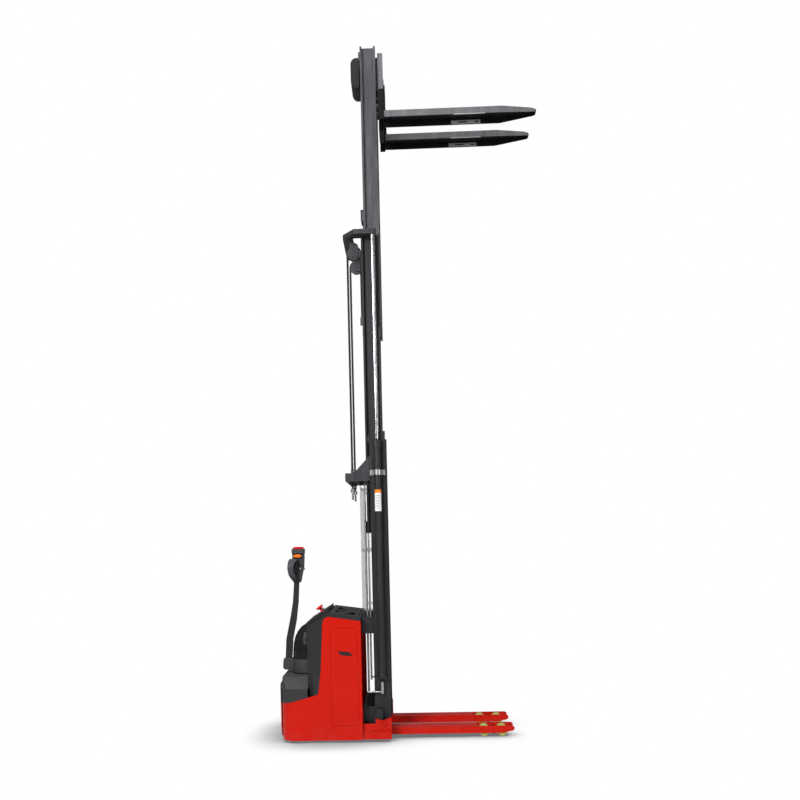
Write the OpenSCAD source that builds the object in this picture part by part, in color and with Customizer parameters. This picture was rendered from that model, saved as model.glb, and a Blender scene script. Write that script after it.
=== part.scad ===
// Walkie stacker: electric pedestrian stacker with straddle legs and a three-stage mast.
// Millimetres, +Z up, forks towards +X. The mast is modelled fully raised.

/* [Overall] */
// Width across the body
body_w = 800; // [760:10:980]
// Length of each fork from its heel
fork_l = 1150; // [950:10:1400]
// Height of the fixed mast stage
outer_h = 2320; // [2100:10:2790]
// Travel of the middle stage, and of the inner stage on it
stage_stroke = 1455; // [1200:5:1500]
// Travel of the carriage in the inner stage
free_stroke = 1732; // [1450:1:1760]

/* [Body] */
// Gap from the mast's front face back to the body's front wall
body_back = 210; // [190:1:230]
// Length of the upper body
cab_l = 407; // [390:1:500]
// Length of the whole body along its middle
tub_l = 653; // [640:1:790]
// Height of the body side at its highest edge
side_h = 962; // [930:1:1150]
// How much the top falls towards the mast
top_fall = 35; // [0:1:60]
// Ground clearance of the skirt
skirt_z = 20; // [15:1:40]
// Thickness of the body panels
wall = 4; // [3:0.5:6]
// Gap between neighbouring covers
seam = 0.8; // [0.4:0.1:0.9]
// Gap around the side doors
door_gap = 2; // [1:0.5:4]
// Height of the raised dash in the middle
dash_rise = 32; // [20:1:45]

/* [Chassis and legs] */
// Thickness of the side bracket plates
bracket_t = 13; // [10:1:16]
// Height of the side bracket plates
bracket_h = 178; // [160:1:220]
// Width of each straddle leg
leg_w = 130; // [120:1:140]
// Distance from the middle to the centre of a leg and its fork
leg_y = 195; // [185:1:205]
// Height of a leg's top plate above the floor
leg_top = 80; // [78:1:82]
// Height of a leg's underside
leg_z = 27; // [22:1:32]
// Reach of the legs in front of the mast
leg_reach = 928; // [850:1:1150]
// Length of a leg that is covered by the top plate
leg_cover = 653; // [600:1:680]
// Sheet thickness of the legs
leg_t = 8; // [6:1:10]

/* [Wheels] */
// Diameter of the load wheels
load_d = 80; // [74:1:80]
// Distance between the load wheels of one leg
load_pitch = 135; // [100:1:150]
// Diameter of the drive wheel
drive_d = 230; // [200:1:235]
// Width of the drive wheel
drive_w = 70; // [60:1:80]
// Diameter of the castor wheels
castor_d = 125; // [100:1:125]
// Trail of the castor wheels behind their swivel
castor_trail = 35; // [25:1:40]

/* [Mast] */
// Depth of the outer and middle rail sections
rail_d = 120; // [110:1:130]
// Depth of the inner rail section
inner_d = 116; // [106:1:122]
// Thickness of the rail flanges
flange_t = 14; // [12:0.5:16]
// Distance from the middle to the outer face of the mast
mast_y = 308; // [300:1:320]
// Step of the middle rail behind the outer rail
middle_step = 28; // [26:1:32]
// Step of the inner rail behind the outer rail
inner_step = 10; // [8:1:12]
// Diameter of a roller's axle
axle_d = 24; // [20:1:30]
// Thickness of the crosshead plate
head_t = 35; // [30:1:42]
// Radius at which the lift chains wrap their pulleys
lift_wrap_r = 51; // [46:1:52]
// Distance from the middle to each lift chain
chain_y = 180; // [170:1:185]
// Width of a chain
chain_w = 20; // [16:1:22]
// Depth of a chain's plates
chain_t = 14; // [12:0.5:15]

/* [Cylinders] */
// Outer diameter of a side cylinder
tube_d = 54; // [48:1:56]
// Diameter of a side cylinder's rod
rod_d = 32; // [26:1:36]
// Diameter of a gland nut
gland_d = 62; // [58:1:64]
// Outer diameter of the free-lift cylinder
free_d = 60; // [50:1:66]

/* [Forks] */
// Width of a fork
fork_w = 180; // [170:1:190]
// Thickness of a fork
fork_t = 48; // [44:1:52]
// Sheet thickness of a fork's top
fork_plate = 7; // [5:0.5:7]
// Width of a fork at its tip
fork_tip_w = 76; // [60:1:110]
// Height of the fork tops above the floor when lowered
fork_low = 98; // [96:1:110]

/* [Tiller] */
// Radius of the steering head
head_r = 116; // [105:1:122]
// Width of the tiller arm
arm_w = 46; // [40:1:52]
// Width across the tiller's grips
grip_w = 270; // [240:1:330]
// Diameter of the stop button's cap
stop_d = 62; // [50:1:66]

/* [Fits] */
// Radial clearance of shafts in their bores
run_fit = 0.05; // [0.02:0.01:0.1]
// Clearance between parts that slide past each other
slide_gap = 0.3; // [0.2:0.05:0.6]

/* [Hidden] */
$fn = 64;

// Colours
red = [0.80, 0.10, 0.04];
coal = [0.16, 0.17, 0.18];
plastic = [0.09, 0.095, 0.10];
steel = [0.62, 0.64, 0.66];
tyre_green = [0.66, 0.68, 0.20];
orange = [0.93, 0.50, 0.08];

// Body, measured back from the mast's front face
half_w = body_w / 2;
front_x = -body_back;
cab_x = front_x - cab_l;
rear_x = front_x - tub_l;
peak_x = front_x - 249;
top_front_z = side_h - top_fall;
rear_bow = 48;
corner_r = 90;
bow_r = (pow(half_w - corner_r / 2, 2) + rear_bow * rear_bow) / (2 * rear_bow);
facet_x = cab_x + 45;
facet_y = half_w - 55;
dash_low_z = side_h - 104;
shelf_z = 500;
seam_z = 294;

// The model's own origin lies under the middle of its overall length
heel_x = 49;
origin_x = (rear_x + heel_x + fork_l) / 2;

// Heights of the raised stages
top_step = 15;
middle_foot = 100;
inner_foot = 210;
middle_z0 = middle_foot + stage_stroke;
middle_z1 = outer_h + top_step + stage_stroke;
inner_z0 = inner_foot + 2 * stage_stroke;
inner_z1 = outer_h + top_step + 2 * stage_stroke;
fork_z = fork_low + 2 * stage_stroke + free_stroke;

// Rail sections, front to back and middle to outside
web_t = 8;
outer_web = mast_y - web_t;
outer_in = mast_y - 40;
middle_x1 = -middle_step;
middle_x0 = middle_x1 - rail_d;
middle_out = mast_y - 10;
middle_web = outer_in - 10;
middle_web_t = 10;
middle_in = middle_web - 30;
inner_x1 = -inner_step;
inner_x0 = inner_x1 - inner_d;
inner_out = middle_web - 2;
inner_web = inner_out - 40;
inner_web_t = 10;
inner_in = inner_web - 32;

// Rollers: the gap between two flanges, less the slide clearance
outer_bay_r = rail_d / 2 - flange_t - slide_gap;
inner_bay_r = inner_d / 2 - flange_t - slide_gap;
outer_bay_x = -rail_d / 2;
middle_bay_x = (middle_x0 + middle_x1) / 2;
inner_bay_x = (inner_x0 + inner_x1) / 2;
roller_w = 28;
outer_roller_z = outer_h - 55;
middle_low_z = middle_z0 + 55;
middle_top_z = middle_z1 - 60;
inner_roller_z = inner_z0 + 55;
carriage_low_z = fork_z + 202;
carriage_top_z = fork_z + 410;
notch_h = 110;
axle_r = axle_d / 2;

// Side cylinders
side_cyl_x = outer_bay_x;
side_cyl_y = mast_y + 5 + tube_d / 2;
seat_z = 478;
gland_h = 60;
gland_z = outer_h - 68 - gland_h;
side_rod_low = seat_z + 67 + stage_stroke;
clamp_z = gland_z - 204;
clamp_h = 40;

// Chains and pulleys
lift_pulley_x = middle_x0 - 8 - lift_wrap_r;
lift_pulley_z = middle_z1 - 90;
strand_rear = lift_pulley_x - lift_wrap_r;
strand_front = lift_pulley_x + lift_wrap_r;
beam_z = outer_h - 372;
beam_h = 60;
beam_x0 = strand_rear - 47;
beam_x1 = strand_rear + 36;
beam_arm_y = mast_y + 8;
lug_z = inner_z0 + 30;
lug_h = 60;

// Crosshead outline
head_x1 = -33;
head_x0 = strand_rear - 29;
head_open_x = strand_rear + 46;
head_out = side_cyl_y + tube_d / 2 - 2;

// Free-lift cylinder, yoke and chains
free_x = inner_x0 + 40;
free_z0 = inner_z0 + 30;
free_tube_h = free_stroke / 2 + 70;
yoke_wrap_r = 36;
yoke_y = 62;
yoke_z = free_z0 + free_tube_h + free_stroke / 2 + 34;
free_front = free_x + yoke_wrap_r;
free_lug_z = free_z0 + free_tube_h - 203;
free_lug_h = 190;
tie_t = 14;

// Carriage and forks
plate_x0 = 5;
plate_x1 = heel_x - 4;
arm_t = 12;
arm_out = inner_in - 2;
fork_half = fork_w / 2;
fork_side = 6;
taper_l = 262;
carriage_top = fork_z + 472;
carriage_low = fork_z - 68;

// Steering, tiller and drive
steer_x = front_x - 445;
head_z0 = 478;
head_z1 = 584;
pivot_x = steer_x - 159;
pivot_z = 565;
pin_r = 9;
ear_t = 10;
neck_r = 85;
plate_z = drive_d + 46;
plate_t = 12;
drive_z = drive_d / 2;

// Castors
castor_x = steer_x + 15;
castor_y = half_w - 130;
castor_r = castor_d / 2;
castor_pad_z = castor_d + 27;
stem_r = 15;
castor_axle_r = 6;
castor_clear = castor_x + castor_r + castor_trail + 9;

// Legs and bogies
bogie_x = leg_reach - 158;
bogie_z = load_d / 2;
bogie_pin_r = 10;
load_r = load_d / 2;
load_w = leg_w - 2 * leg_t - 20;

// Tiller head, above the arm
grip_z = 1180;
grip_x = -723;
pod_x0 = grip_x - 34;
pod_x1 = grip_x + 58;

// Battery lid
lid_x0 = peak_x + 12;
lid_x1 = front_x - 22;
lid_y = half_w - 72;
lid_t = 12;

function top_at(x) = side_h + (x - peak_x) * (top_front_z - side_h) / (front_x - peak_x);
function dash_at(x) = side_h + (x - peak_x) * (dash_low_z - side_h) / (cab_x - peak_x);

// Helpers: a block between two corners, and round bars along each axis
module block(x0, x1, y0, y1, z0, z1) {
    translate([x0, y0, z0])
        cube([x1 - x0, y1 - y0, z1 - z0]);
}

module both() {
    children();
    mirror([0, 1, 0])
        children();
}

module bar_y(x, z, r, y0, y1) {
    translate([x, y1, z])
        rotate([90, 0, 0])
            cylinder(r = r, h = y1 - y0);
}

module bar_x(y, z, r, x0, x1) {
    translate([x0, y, z])
        rotate([0, 90, 0])
            cylinder(r = r, h = x1 - x0);
}

module bar_z(x, y, r, z0, z1) {
    translate([x, y, z0])
        cylinder(r = r, h = z1 - z0);
}

// An outline drawn in X and Z, given a thickness along Y
module slab_y(y0, y1) {
    translate([0, y1, 0])
        rotate([90, 0, 0])
            linear_extrude(y1 - y0)
                children();
}

// An outline drawn in X and Y, given a thickness along Z
module slab_z(z0, z1) {
    translate([0, 0, z0])
        linear_extrude(z1 - z0)
            children();
}

// Moves a sub-part from the mast's front face to the model's origin
module placed() {
    translate([-origin_x, 0, 0])
        children();
}

// ---- Body ----

// Plan of the lower body: flat sides, rounded corners and a bowed rear
module tub_plan(t) {
    intersection() {
        translate([rear_x + t, -half_w + t])
            square([tub_l - t, body_w - 2 * t]);
        translate([rear_x + bow_r, 0])
            circle(r = bow_r - t, $fn = 360);
        union() {
            translate([rear_x + rear_bow + corner_r, -half_w + t])
                square([tub_l, body_w - 2 * t]);
            translate([rear_x, -half_w + corner_r])
                square([tub_l, body_w - 2 * corner_r]);
            for (side = [-1, 1])
                translate([rear_x + rear_bow + corner_r, side * (half_w - corner_r)])
                    circle(r = corner_r - t);
        }
    }
}

// Side outline of the lower body, with its rounded rear edge at the floor
module tub_side(t, top) {
    polygon(concat(
        [[front_x, top], [front_x, skirt_z - t]],
        [for (a = [0:15:90])
            [rear_x + 78 - (78 - t) * sin(a), skirt_z + 190 - (190 - 0.2 * t) * cos(a)]],
        [[rear_x + t, top]]
    ));
}

module tub(t, top) {
    intersection() {
        slab_z(skirt_z - t, top)
            tub_plan(t);
        slab_y(-half_w, half_w)
            tub_side(t, top);
    }
}

// The upper body: chamfered rear corners under a sloping top
module cab(t) {
    intersection() {
        slab_z(skirt_z - t, side_h + 1)
            polygon([
                [front_x - t, t - half_w], [facet_x, t - half_w],
                [cab_x + t, -facet_y], [cab_x + t, facet_y],
                [facet_x, half_w - t], [front_x - t, half_w - t]
            ]);
        slab_y(-half_w, half_w)
            polygon([
                [front_x, skirt_z - t], [cab_x, skirt_z - t], [cab_x, dash_low_z - t],
                [peak_x, side_h - t], [front_x, top_front_z - t]
            ]);
    }
}

// The part of the side view that is painted sheet, grown by a seam
module painted_zone(g) {
    polygon(concat(
        [[front_x + 1, 0], [rear_x - 1, 0], [rear_x - 1, seam_z - 9 + g],
            [cab_x - 117, seam_z + 14 + g], [cab_x + 60, seam_z + 63 + g]],
        [for (a = [0:22.5:90])
            [cab_x + 60 + 24 * sin(a) - g * sin(a), seam_z + 91 - 28 * cos(a) + g * cos(a)]],
        [[cab_x + 102 - g, seam_z + 238], [cab_x + 122 - g, side_h - 75]],
        [for (a = [0:22.5:90])
            [cab_x + 170 - (47 + g) * cos(a), side_h - 72 + (50 + g) * sin(a)]],
        [[front_x + 1, top_front_z - 25 + g]]
    ));
}

// Openings of the side doors, and the doors that fill them
door_x0 = front_x - 228;
door_x1 = front_x - 28;
door_z0 = 130;
door_z1 = side_h - 108;
door_r = 12;

module door_shape(g) {
    for (x = [door_x0 + door_r, door_x1 - door_r], z = [door_z0 + door_r, door_z1 - door_r])
        translate([x, z])
            circle(r = door_r + g);
    translate([door_x0 - g, door_z0 + door_r])
        square([door_x1 - door_x0 + 2 * g, door_z1 - door_z0 - 2 * door_r]);
    translate([door_x0 + door_r, door_z0 - g])
        square([door_x1 - door_x0 - 2 * door_r, door_z1 - door_z0 + 2 * g]);
}

module body_shell() {
    color(red)
        difference() {
            intersection() {
                union() {
                    tub(0, seam_z + 120);
                    cab(0);
                }
                slab_y(-half_w - 1, half_w + 1)
                    painted_zone(0);
            }
            tub(wall, seam_z + 130);
            cab(wall);
            block(rear_x + 82, front_x + 1, wall - half_w, half_w - wall, 0, skirt_z + wall);
            block(front_x - wall - 1, front_x + 1, wall - half_w, half_w - wall, 0, side_h);
            slab_y(-half_w - 1, half_w + 1)
                door_shape(door_gap);
        }
}

module side_doors() {
    // Each door seats on the inside of the shell with a lip all round
    color(red)
        both()
            difference() {
                union() {
                    slab_y(half_w - wall - 3, half_w)
                        door_shape(0);
                    slab_y(half_w - wall - 3, half_w - wall - slide_gap)
                        door_shape(8);
                }
                slab_y(half_w - wall - 4, half_w + 1)
                    polygon([
                        [door_x0 + 50, 684], [door_x0 + 140, 675],
                        [door_x0 + 167, 644], [door_x0 + 76, 651]
                    ]);
            }
}

module top_cover() {
    color(plastic)
        difference() {
            union() {
                difference() {
                    cab(0);
                    cab(wall + 1);
                    slab_y(-half_w - 1, half_w + 1)
                        painted_zone(seam);
                    block(front_x - 60, front_x + 1, 1 - facet_y, facet_y - 1, 0, side_h - 160);
                }
                // Ledge under the edge of the lid
                lid_solid(6, -2, 6);
                // Raised dash across the middle
                slab_y(-half_w * 0.64, half_w * 0.64)
                    polygon([
                        [cab_x + 8, dash_at(cab_x + 8) - 4], [cab_x - 14, dash_low_z + 20],
                        [cab_x - 14, dash_low_z + 26], [peak_x - 50, dash_at(peak_x - 50) + dash_rise],
                        [peak_x - 2, side_h + dash_rise - 4], [peak_x - 2, side_h - 4]
                    ]);
            }
            // Well under the lid, and the lid's own seat
            block(lid_x0 + 20, lid_x1 - 20, 20 - lid_y, lid_y - 20, side_h - 160, side_h + 20);
            lid_solid(2, 10, slide_gap);
            // Sockets of the stop button and the key switch
            dash_bore(0, stop_bore_r + run_fit);
            dash_bore(key_y, key_r + run_fit);
            // Way through to the steering gear, and the seat of the dome
            block(cab_x - 20, cab_x + 20, -head_r - 6, head_r + 6, 0, dash_low_z - 60);
        }
}

// Controls on the dash lean with its slope
dash_lean = atan2(dash_rise + side_h - dash_low_z - 26, peak_x - cab_x);
stop_x = cab_x + 77;
stop_z = dash_low_z + 26 + 91 * (side_h - dash_low_z + 0.72 * dash_rise - 26) / (peak_x - cab_x - 36);
stop_bore_r = 11;
key_y = 120;
key_r = 9;

module on_dash(y) {
    translate([stop_x, y, stop_z])
        rotate([0, -dash_lean, 0])
            children();
}

module dash_bore(y, r) {
    on_dash(y)
        translate([0, 0, -60])
            cylinder(r = r, h = 90);
}

// Plate of the lid, grown by g around it, up above the top and down below it
module lid_solid(g, up, down) {
    slab_y(-lid_y - g, lid_y + g)
        polygon([
            [lid_x0 - g, top_at(lid_x0 - g) - lid_t - down], [lid_x0 - g, top_at(lid_x0 - g) + up],
            [lid_x1 + g, top_at(lid_x1 + g) + up], [lid_x1 + g, top_at(lid_x1 + g) - lid_t - down]
        ]);
}

hinge_r = 7.5;
hinge_x = lid_x1 - hinge_r;
hinge_z = top_at(hinge_x) + 3 - hinge_r;

// Lid with two triangular trays and a hinge barrel along its front edge
module storage_lid() {
    tray_l = lid_x1 - lid_x0 - 60;
    color(plastic)
        difference() {
            union() {
                difference() {
                    lid_solid(0, 3, 0);
                    block(hinge_x, lid_x1 + 1, -half_w, half_w, 0, side_h + 40);
                }
                bar_y(hinge_x, hinge_z, hinge_r, -lid_y, lid_y);
                slab_y(40 - lid_y, lid_y - 40)
                    polygon([
                        [lid_x0 + 24, top_at(lid_x0 + 24) - 40], [lid_x0 + 24, top_at(lid_x0) - 2],
                        [lid_x1 - 24, top_at(lid_x1) - 2], [lid_x1 - 24, top_at(lid_x1 - 24) - 40]
                    ]);
            }
            both()
                translate([0, 0, top_front_z - 32])
                    linear_extrude(80)
                        polygon([
                            [lid_x0 + 34, 24], [lid_x0 + 34, lid_y - 70], [lid_x0 + 34 + tray_l * 0.62, 24]
                        ]);
            both()
                translate([0, 0, top_front_z - 32])
                    linear_extrude(80)
                        polygon([
                            [lid_x1 - 34, lid_y - 58], [lid_x1 - 34, 60], [lid_x1 - 34 - tray_l * 0.55, lid_y - 58]
                        ]);
        }
}

// Dome over the drive motor, carried forward to the dash
module dome_outline(r_add) {
    polygon([
        [0, head_z1 + 2], [head_r - 2 + r_add, head_z1 + 2], [head_r - 4 + r_add, 640],
        [head_r - 9 + r_add, 700], [head_r - 21 + r_add, 750], [head_r - 43 + r_add, 795],
        [42 + r_add, 832], [0, 858 + r_add]
    ]);
}

module dome_body(r_add) {
    translate([steer_x, 0, 0])
        rotate_extrude($fn = 96)
            intersection() {
                dome_outline(r_add);
                translate([0, 0])
                    square([head_r + 10, 900]);
            }
    translate([steer_x, 0, 0])
        rotate([90, 0, 90])
            linear_extrude(cab_x - steer_x + 1)
                both_2d()
                    dome_outline(r_add);
}

module both_2d() {
    children();
    mirror([1, 0])
        children();
}

module drive_cover() {
    color(plastic)
        difference() {
            intersection() {
                dome_body(0);
                block(steer_x - head_r, cab_x - slide_gap, -head_r, head_r, head_z1 + slide_gap, side_h);
            }
            translate([0, 0, -wall])
                dome_body(-wall);
        }
}

// Black shelf that closes the top of the lower body around the steering head
module rear_bumper() {
    color(plastic)
        difference() {
            union() {
                difference() {
                    tub(0, seam_z + 110);
                    tub(wall, seam_z + 104);
                    slab_y(-half_w - 1, half_w + 1)
                        painted_zone(seam);
                    block(cab_x, 0, -half_w, half_w, 0, 600);
                }
                // Sloping faces that rise to the shelf
                hull() {
                    slab_z(seam_z + 106, seam_z + 108)
                        intersection() {
                            tub_plan(14);
                            translate([rear_x, -half_w])
                                square([cab_x - rear_x, body_w]);
                        }
                    block(rear_x + 36, cab_x, -half_w * 0.56, half_w * 0.56, shelf_z - 32, shelf_z - 28);
                }
            }
            translate([0, 0, -8])
                hull() {
                    slab_z(seam_z + 96, seam_z + 98)
                        intersection() {
                            tub_plan(22);
                            translate([rear_x, -half_w])
                                square([cab_x - rear_x + 10, body_w]);
                        }
                    block(rear_x + 44, cab_x + 1, -half_w * 0.54, half_w * 0.54, shelf_z - 34, shelf_z - 30);
                }
            bar_z(steer_x, 0, head_r + 3, 0, shelf_z + 20);
        }
}

// ---- Chassis ----

module bracket_outline() {
    difference() {
        polygon([
            [front_x, skirt_z], [4, skirt_z], [4, bracket_h], [-18, bracket_h],
            [-24, bracket_h - 12], [-106, bracket_h - 12], [-115, bracket_h],
            [-115, bracket_h - 44], [front_x, bracket_h - 44]
        ]);
        translate([-65, bracket_h + 22])
            circle(r = 42);
    }
}

module chassis_frame() {
    color(red)
        difference() {
            union() {
                both() {
                    slab_y(mast_y + 54, mast_y + 54 + bracket_t)
                        bracket_outline();
                    // Ledge along the foot of each bracket, and its boss
                    block(front_x, 4, mast_y + 54 + bracket_t, mast_y + 60 + bracket_t, skirt_z, 78);
                    bar_y(-64, bracket_h - 45, 23, mast_y + 54 + bracket_t, mast_y + 60 + bracket_t);
                    // Web from each bracket in to the mast rail
                    block(-rail_d, -8, mast_y, mast_y + 54, 45, 60);
                    block(front_x + 12, -8, mast_y + 42, mast_y + 54, skirt_z, 45);
                    // Long members under the body
                    block(castor_clear, front_x + 20, half_w - 62, half_w - 50, 44, 120);
                    block(castor_clear, steer_x + 145, half_w - 62, half_w - 50, 119, plate_z + plate_t);
                    block(steer_x - 100, castor_clear + 1, half_w - 62, half_w - 50, castor_pad_z, plate_z + plate_t);
                    // Castor pads
                    block(castor_x - 50, castor_x + 50, castor_y - 50, castor_y + 50, castor_pad_z, plate_z);
                }
                // Base plate that the mast and the legs stand on
                block(front_x + 12, -8, -mast_y - 54, mast_y + 54, skirt_z, 45);
                // Battery tray, stepped up behind the base plate
                block(front_x - 60, front_x + 20, 50 - half_w, half_w - 50, 44, 57);
                block(front_x - 232, front_x - 60, 50 - half_w, half_w - 50, 105, 117);
                block(front_x - 72, front_x - 60, 50 - half_w, half_w - 50, 44, 117);
                // Drive plate
                block(steer_x - 130, steer_x + 145, 50 - half_w, half_w - 50, plate_z, plate_z + plate_t);
            }
            bar_z(steer_x, 0, neck_r + run_fit, plate_z - 1, plate_z + plate_t + 1);
            both()
                bar_z(castor_x, castor_y, stem_r + run_fit, castor_pad_z - 1, plate_z + plate_t + 1);
        }
}

module leg_outline() {
    polygon(concat(
        [[-8, leg_z], [leg_reach - 90, leg_z]],
        [for (a = [0:15:60]) [leg_reach - 30 + 30 * sin(a), leg_z + 34 - 22 * cos(a)]],
        [for (a = [0:15:90]) [leg_reach - 20 + 20 * cos(a), leg_top - 20 + 20 * sin(a)]],
        [[-8, leg_top]]
    ));
}

// One straddle leg: an inverted channel that is open over the wheels
module leg(side) {
    y0 = leg_y - leg_w / 2;
    y1 = leg_y + leg_w / 2;
    scale_y = side;
    color(red)
        mirror([0, scale_y < 0 ? 1 : 0, 0]) {
            difference() {
                union() {
                    slab_y(y0, y0 + leg_t)
                        leg_outline();
                    slab_y(y1 - leg_t, y1)
                        leg_outline();
                    block(-8, leg_cover, y0, y1, leg_top - leg_t, leg_top);
                    block(leg_reach - 20, leg_reach - 12, y0, y1, leg_z + 18, leg_top - 8);
                    block(-8, 0, y0, y1, leg_z, leg_top);
                }
            }
            bar_y(bogie_x, bogie_z, bogie_pin_r, y0, y1);
        }
}

module bogie(side) {
    y0 = leg_y - leg_w / 2 + leg_t + 1.5;
    y1 = leg_y + leg_w / 2 - leg_t - 1.5;
    reach = load_pitch / 2;
    color(coal)
        mirror([0, side < 0 ? 1 : 0, 0])
            difference() {
                union() {
                    for (y = [y0, y1 - 6]) {
                        bar_y(bogie_x - reach, bogie_z, 16, y, y + 6);
                        bar_y(bogie_x + reach, bogie_z, 16, y, y + 6);
                        bar_y(bogie_x, bogie_z, 20, y, y + 6);
                        block(bogie_x - reach, bogie_x + reach, y, y + 6, bogie_z - 14, bogie_z + 14);
                    }
                    bar_y(bogie_x, bogie_z, 17, y0, y1);
                    bar_y(bogie_x - reach, bogie_z, bogie_pin_r, y0, y1);
                    bar_y(bogie_x + reach, bogie_z, bogie_pin_r, y0, y1);
                }
                bar_y(bogie_x, bogie_z, bogie_pin_r + run_fit, y0 - 1, y1 + 1);
            }
}

// A load wheel with rounded shoulders; ahead is 1 for the front one of its leg
module load_wheel(side, ahead) {
    y_mid = side * leg_y;
    half = load_w / 2;
    color(tyre_green)
        translate([bogie_x + ahead * load_pitch / 2, y_mid, bogie_z])
            rotate([90, 0, 0])
                difference() {
                    union() {
                        cylinder(r = load_r, h = load_w - 8, center = true);
                        cylinder(r = load_r - 4, h = load_w, center = true);
                    }
                    cylinder(r = bogie_pin_r + run_fit, h = load_w + 2, center = true);
                }
}

// ---- Inside the body ----

module battery_pack() {
    color(coal) {
        block(front_x - 226, front_x - 62, 72 - half_w, half_w - 72, 117, side_h - 170);
        for (y = [-150, 0, 150])
            block(front_x - 160, front_x - 128, y - 20, y + 20, side_h - 170, side_h - 163);
    }
}

module pump_unit() {
    tank_z = plate_z + plate_t;
    color(steel) {
        // Motor with its valve block on top, and the oil tank beside them
        bar_z(cab_x + 104, -165, 52, tank_z, tank_z + 191);
        block(cab_x + 58, cab_x + 150, -215, -120, tank_z + 190, tank_z + 250);
        block(cab_x + 50, cab_x + 150, 60 - half_w, -213, tank_z, tank_z + 300);
    }
}

module controller() {
    base_z = plate_z + plate_t;
    color(steel) {
        block(cab_x + 50, cab_x + 150, 125, 329, base_z, base_z + 12);
        for (i = [0:8])
            block(cab_x + 50, cab_x + 150, 129 + i * 22, 137 + i * 22, base_z + 11, base_z + 70);
    }
}

// ---- Drive and steering ----

module drive_unit() {
    color(coal)
        translate([steer_x, 0, 0]) {
            // Side housing, top disc, neck and motor
            difference() {
                union() {
                    block(-70, 70, drive_w / 2 + 3, drive_w / 2 + 48, drive_z - 40, drive_d + 20);
                    bar_y(0, drive_z, 55, drive_w / 2 + 3, drive_w / 2 + 48);
                    bar_z(0, 0, 88, drive_d + 6, plate_z - slide_gap);
                    bar_z(0, 0, neck_r, drive_d + 6, plate_z + plate_t + 2);
                    bar_z(0, 0, 98, plate_z + plate_t + slide_gap, plate_z + plate_t + 14);
                    bar_z(0, 0, 78, plate_z + plate_t + 14, head_z0);
                    bar_y(0, drive_z, 20, -drive_w / 2 - 2, drive_w / 2 + 3);
                }
            }
        }
}

module drive_wheel() {
    color(plastic)
        translate([steer_x, 0, drive_z])
            rotate([90, 0, 0])
                difference() {
                    union() {
                        cylinder(r = drive_d / 2, h = drive_w - 10, center = true, $fn = 96);
                        cylinder(r = drive_d / 2 - 5, h = drive_w, center = true, $fn = 96);
                    }
                    cylinder(r = 20 + run_fit, h = drive_w + 2, center = true);
                }
}

// Drum on top of the motor with two ears that hold the tiller
module steering_head() {
    color(plastic)
        union() {
            bar_z(steer_x, 0, head_r, head_z0, head_z1);
            both()
                slab_y(arm_w / 2 + 1, arm_w / 2 + 1 + ear_t) {
                    translate([pivot_x, pivot_z])
                        circle(r = 30);
                    translate([pivot_x - 8, pivot_z - 44])
                        circle(r = 26);
                    polygon([
                        [pivot_x - 30, pivot_z], [pivot_x - 34, pivot_z - 44],
                        [pivot_x - 8, pivot_z - 70], [steer_x - 60, head_z0 + 18],
                        [steer_x - 60, head_z1 - 14], [pivot_x, pivot_z + 30]
                    ]);
                }
            bar_y(pivot_x, pivot_z, pin_r, -arm_w / 2 - ear_t - 5, arm_w / 2 + ear_t + 5);
        }
}

module tiller_arm() {
    color(plastic)
        difference() {
            union() {
                bar_y(pivot_x, pivot_z, 27, -arm_w / 2, arm_w / 2);
                slab_y(-arm_w / 2, arm_w / 2)
                    polygon([
                    [pivot_x - 20, pivot_z - 12], [pivot_x - 13, 596], [pivot_x - 5, 735],
                    [pivot_x + 28, 886], [pivot_x + 54, 1025], [pivot_x + 66, grip_z],
                    [pivot_x + 104, grip_z], [pivot_x + 95, 1025], [pivot_x + 78, 886],
                    [pivot_x + 47, 735], [pivot_x + 38, 600], [pivot_x + 20, pivot_z - 12]
                ]);
            }
            bar_y(pivot_x, pivot_z, pin_r + run_fit, -arm_w, arm_w);
        }
}

// Grip loop on one side of the tiller head, drawn in Y and Z
module loop_outline() {
    half = grip_w / 2;
    difference() {
        polygon(concat(
            [[30, 4], [44, 4]],
            [for (a = [-70:20:70]) [half - 44 + 44 * cos(a), 112 + 76 * sin(a)]],
            [[half - 66, 187], [30, 182]]
        ));
        polygon(concat(
            [[42, 52], [52, 44]],
            [for (a = [-60:20:60]) [half - 64 + 34 * cos(a), 108 + 46 * sin(a)]],
            [[half - 66, 156], [42, 152]]
        ));
    }
}

// The same loop seen from the side
module loop_side() {
    translate([pod_x0, 0])
        polygon([
            [10, 0], [48, 0], [34, 48], [22, 84], [18, 120], [24, 152], [44, 176], [46, 200],
            [-2, 200], [-18, 176], [-25, 144], [-26, 108], [-18, 60]
        ]);
}

wing_z = 209;
wing_x = (pod_x0 + pod_x1) / 2 - 2;

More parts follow.
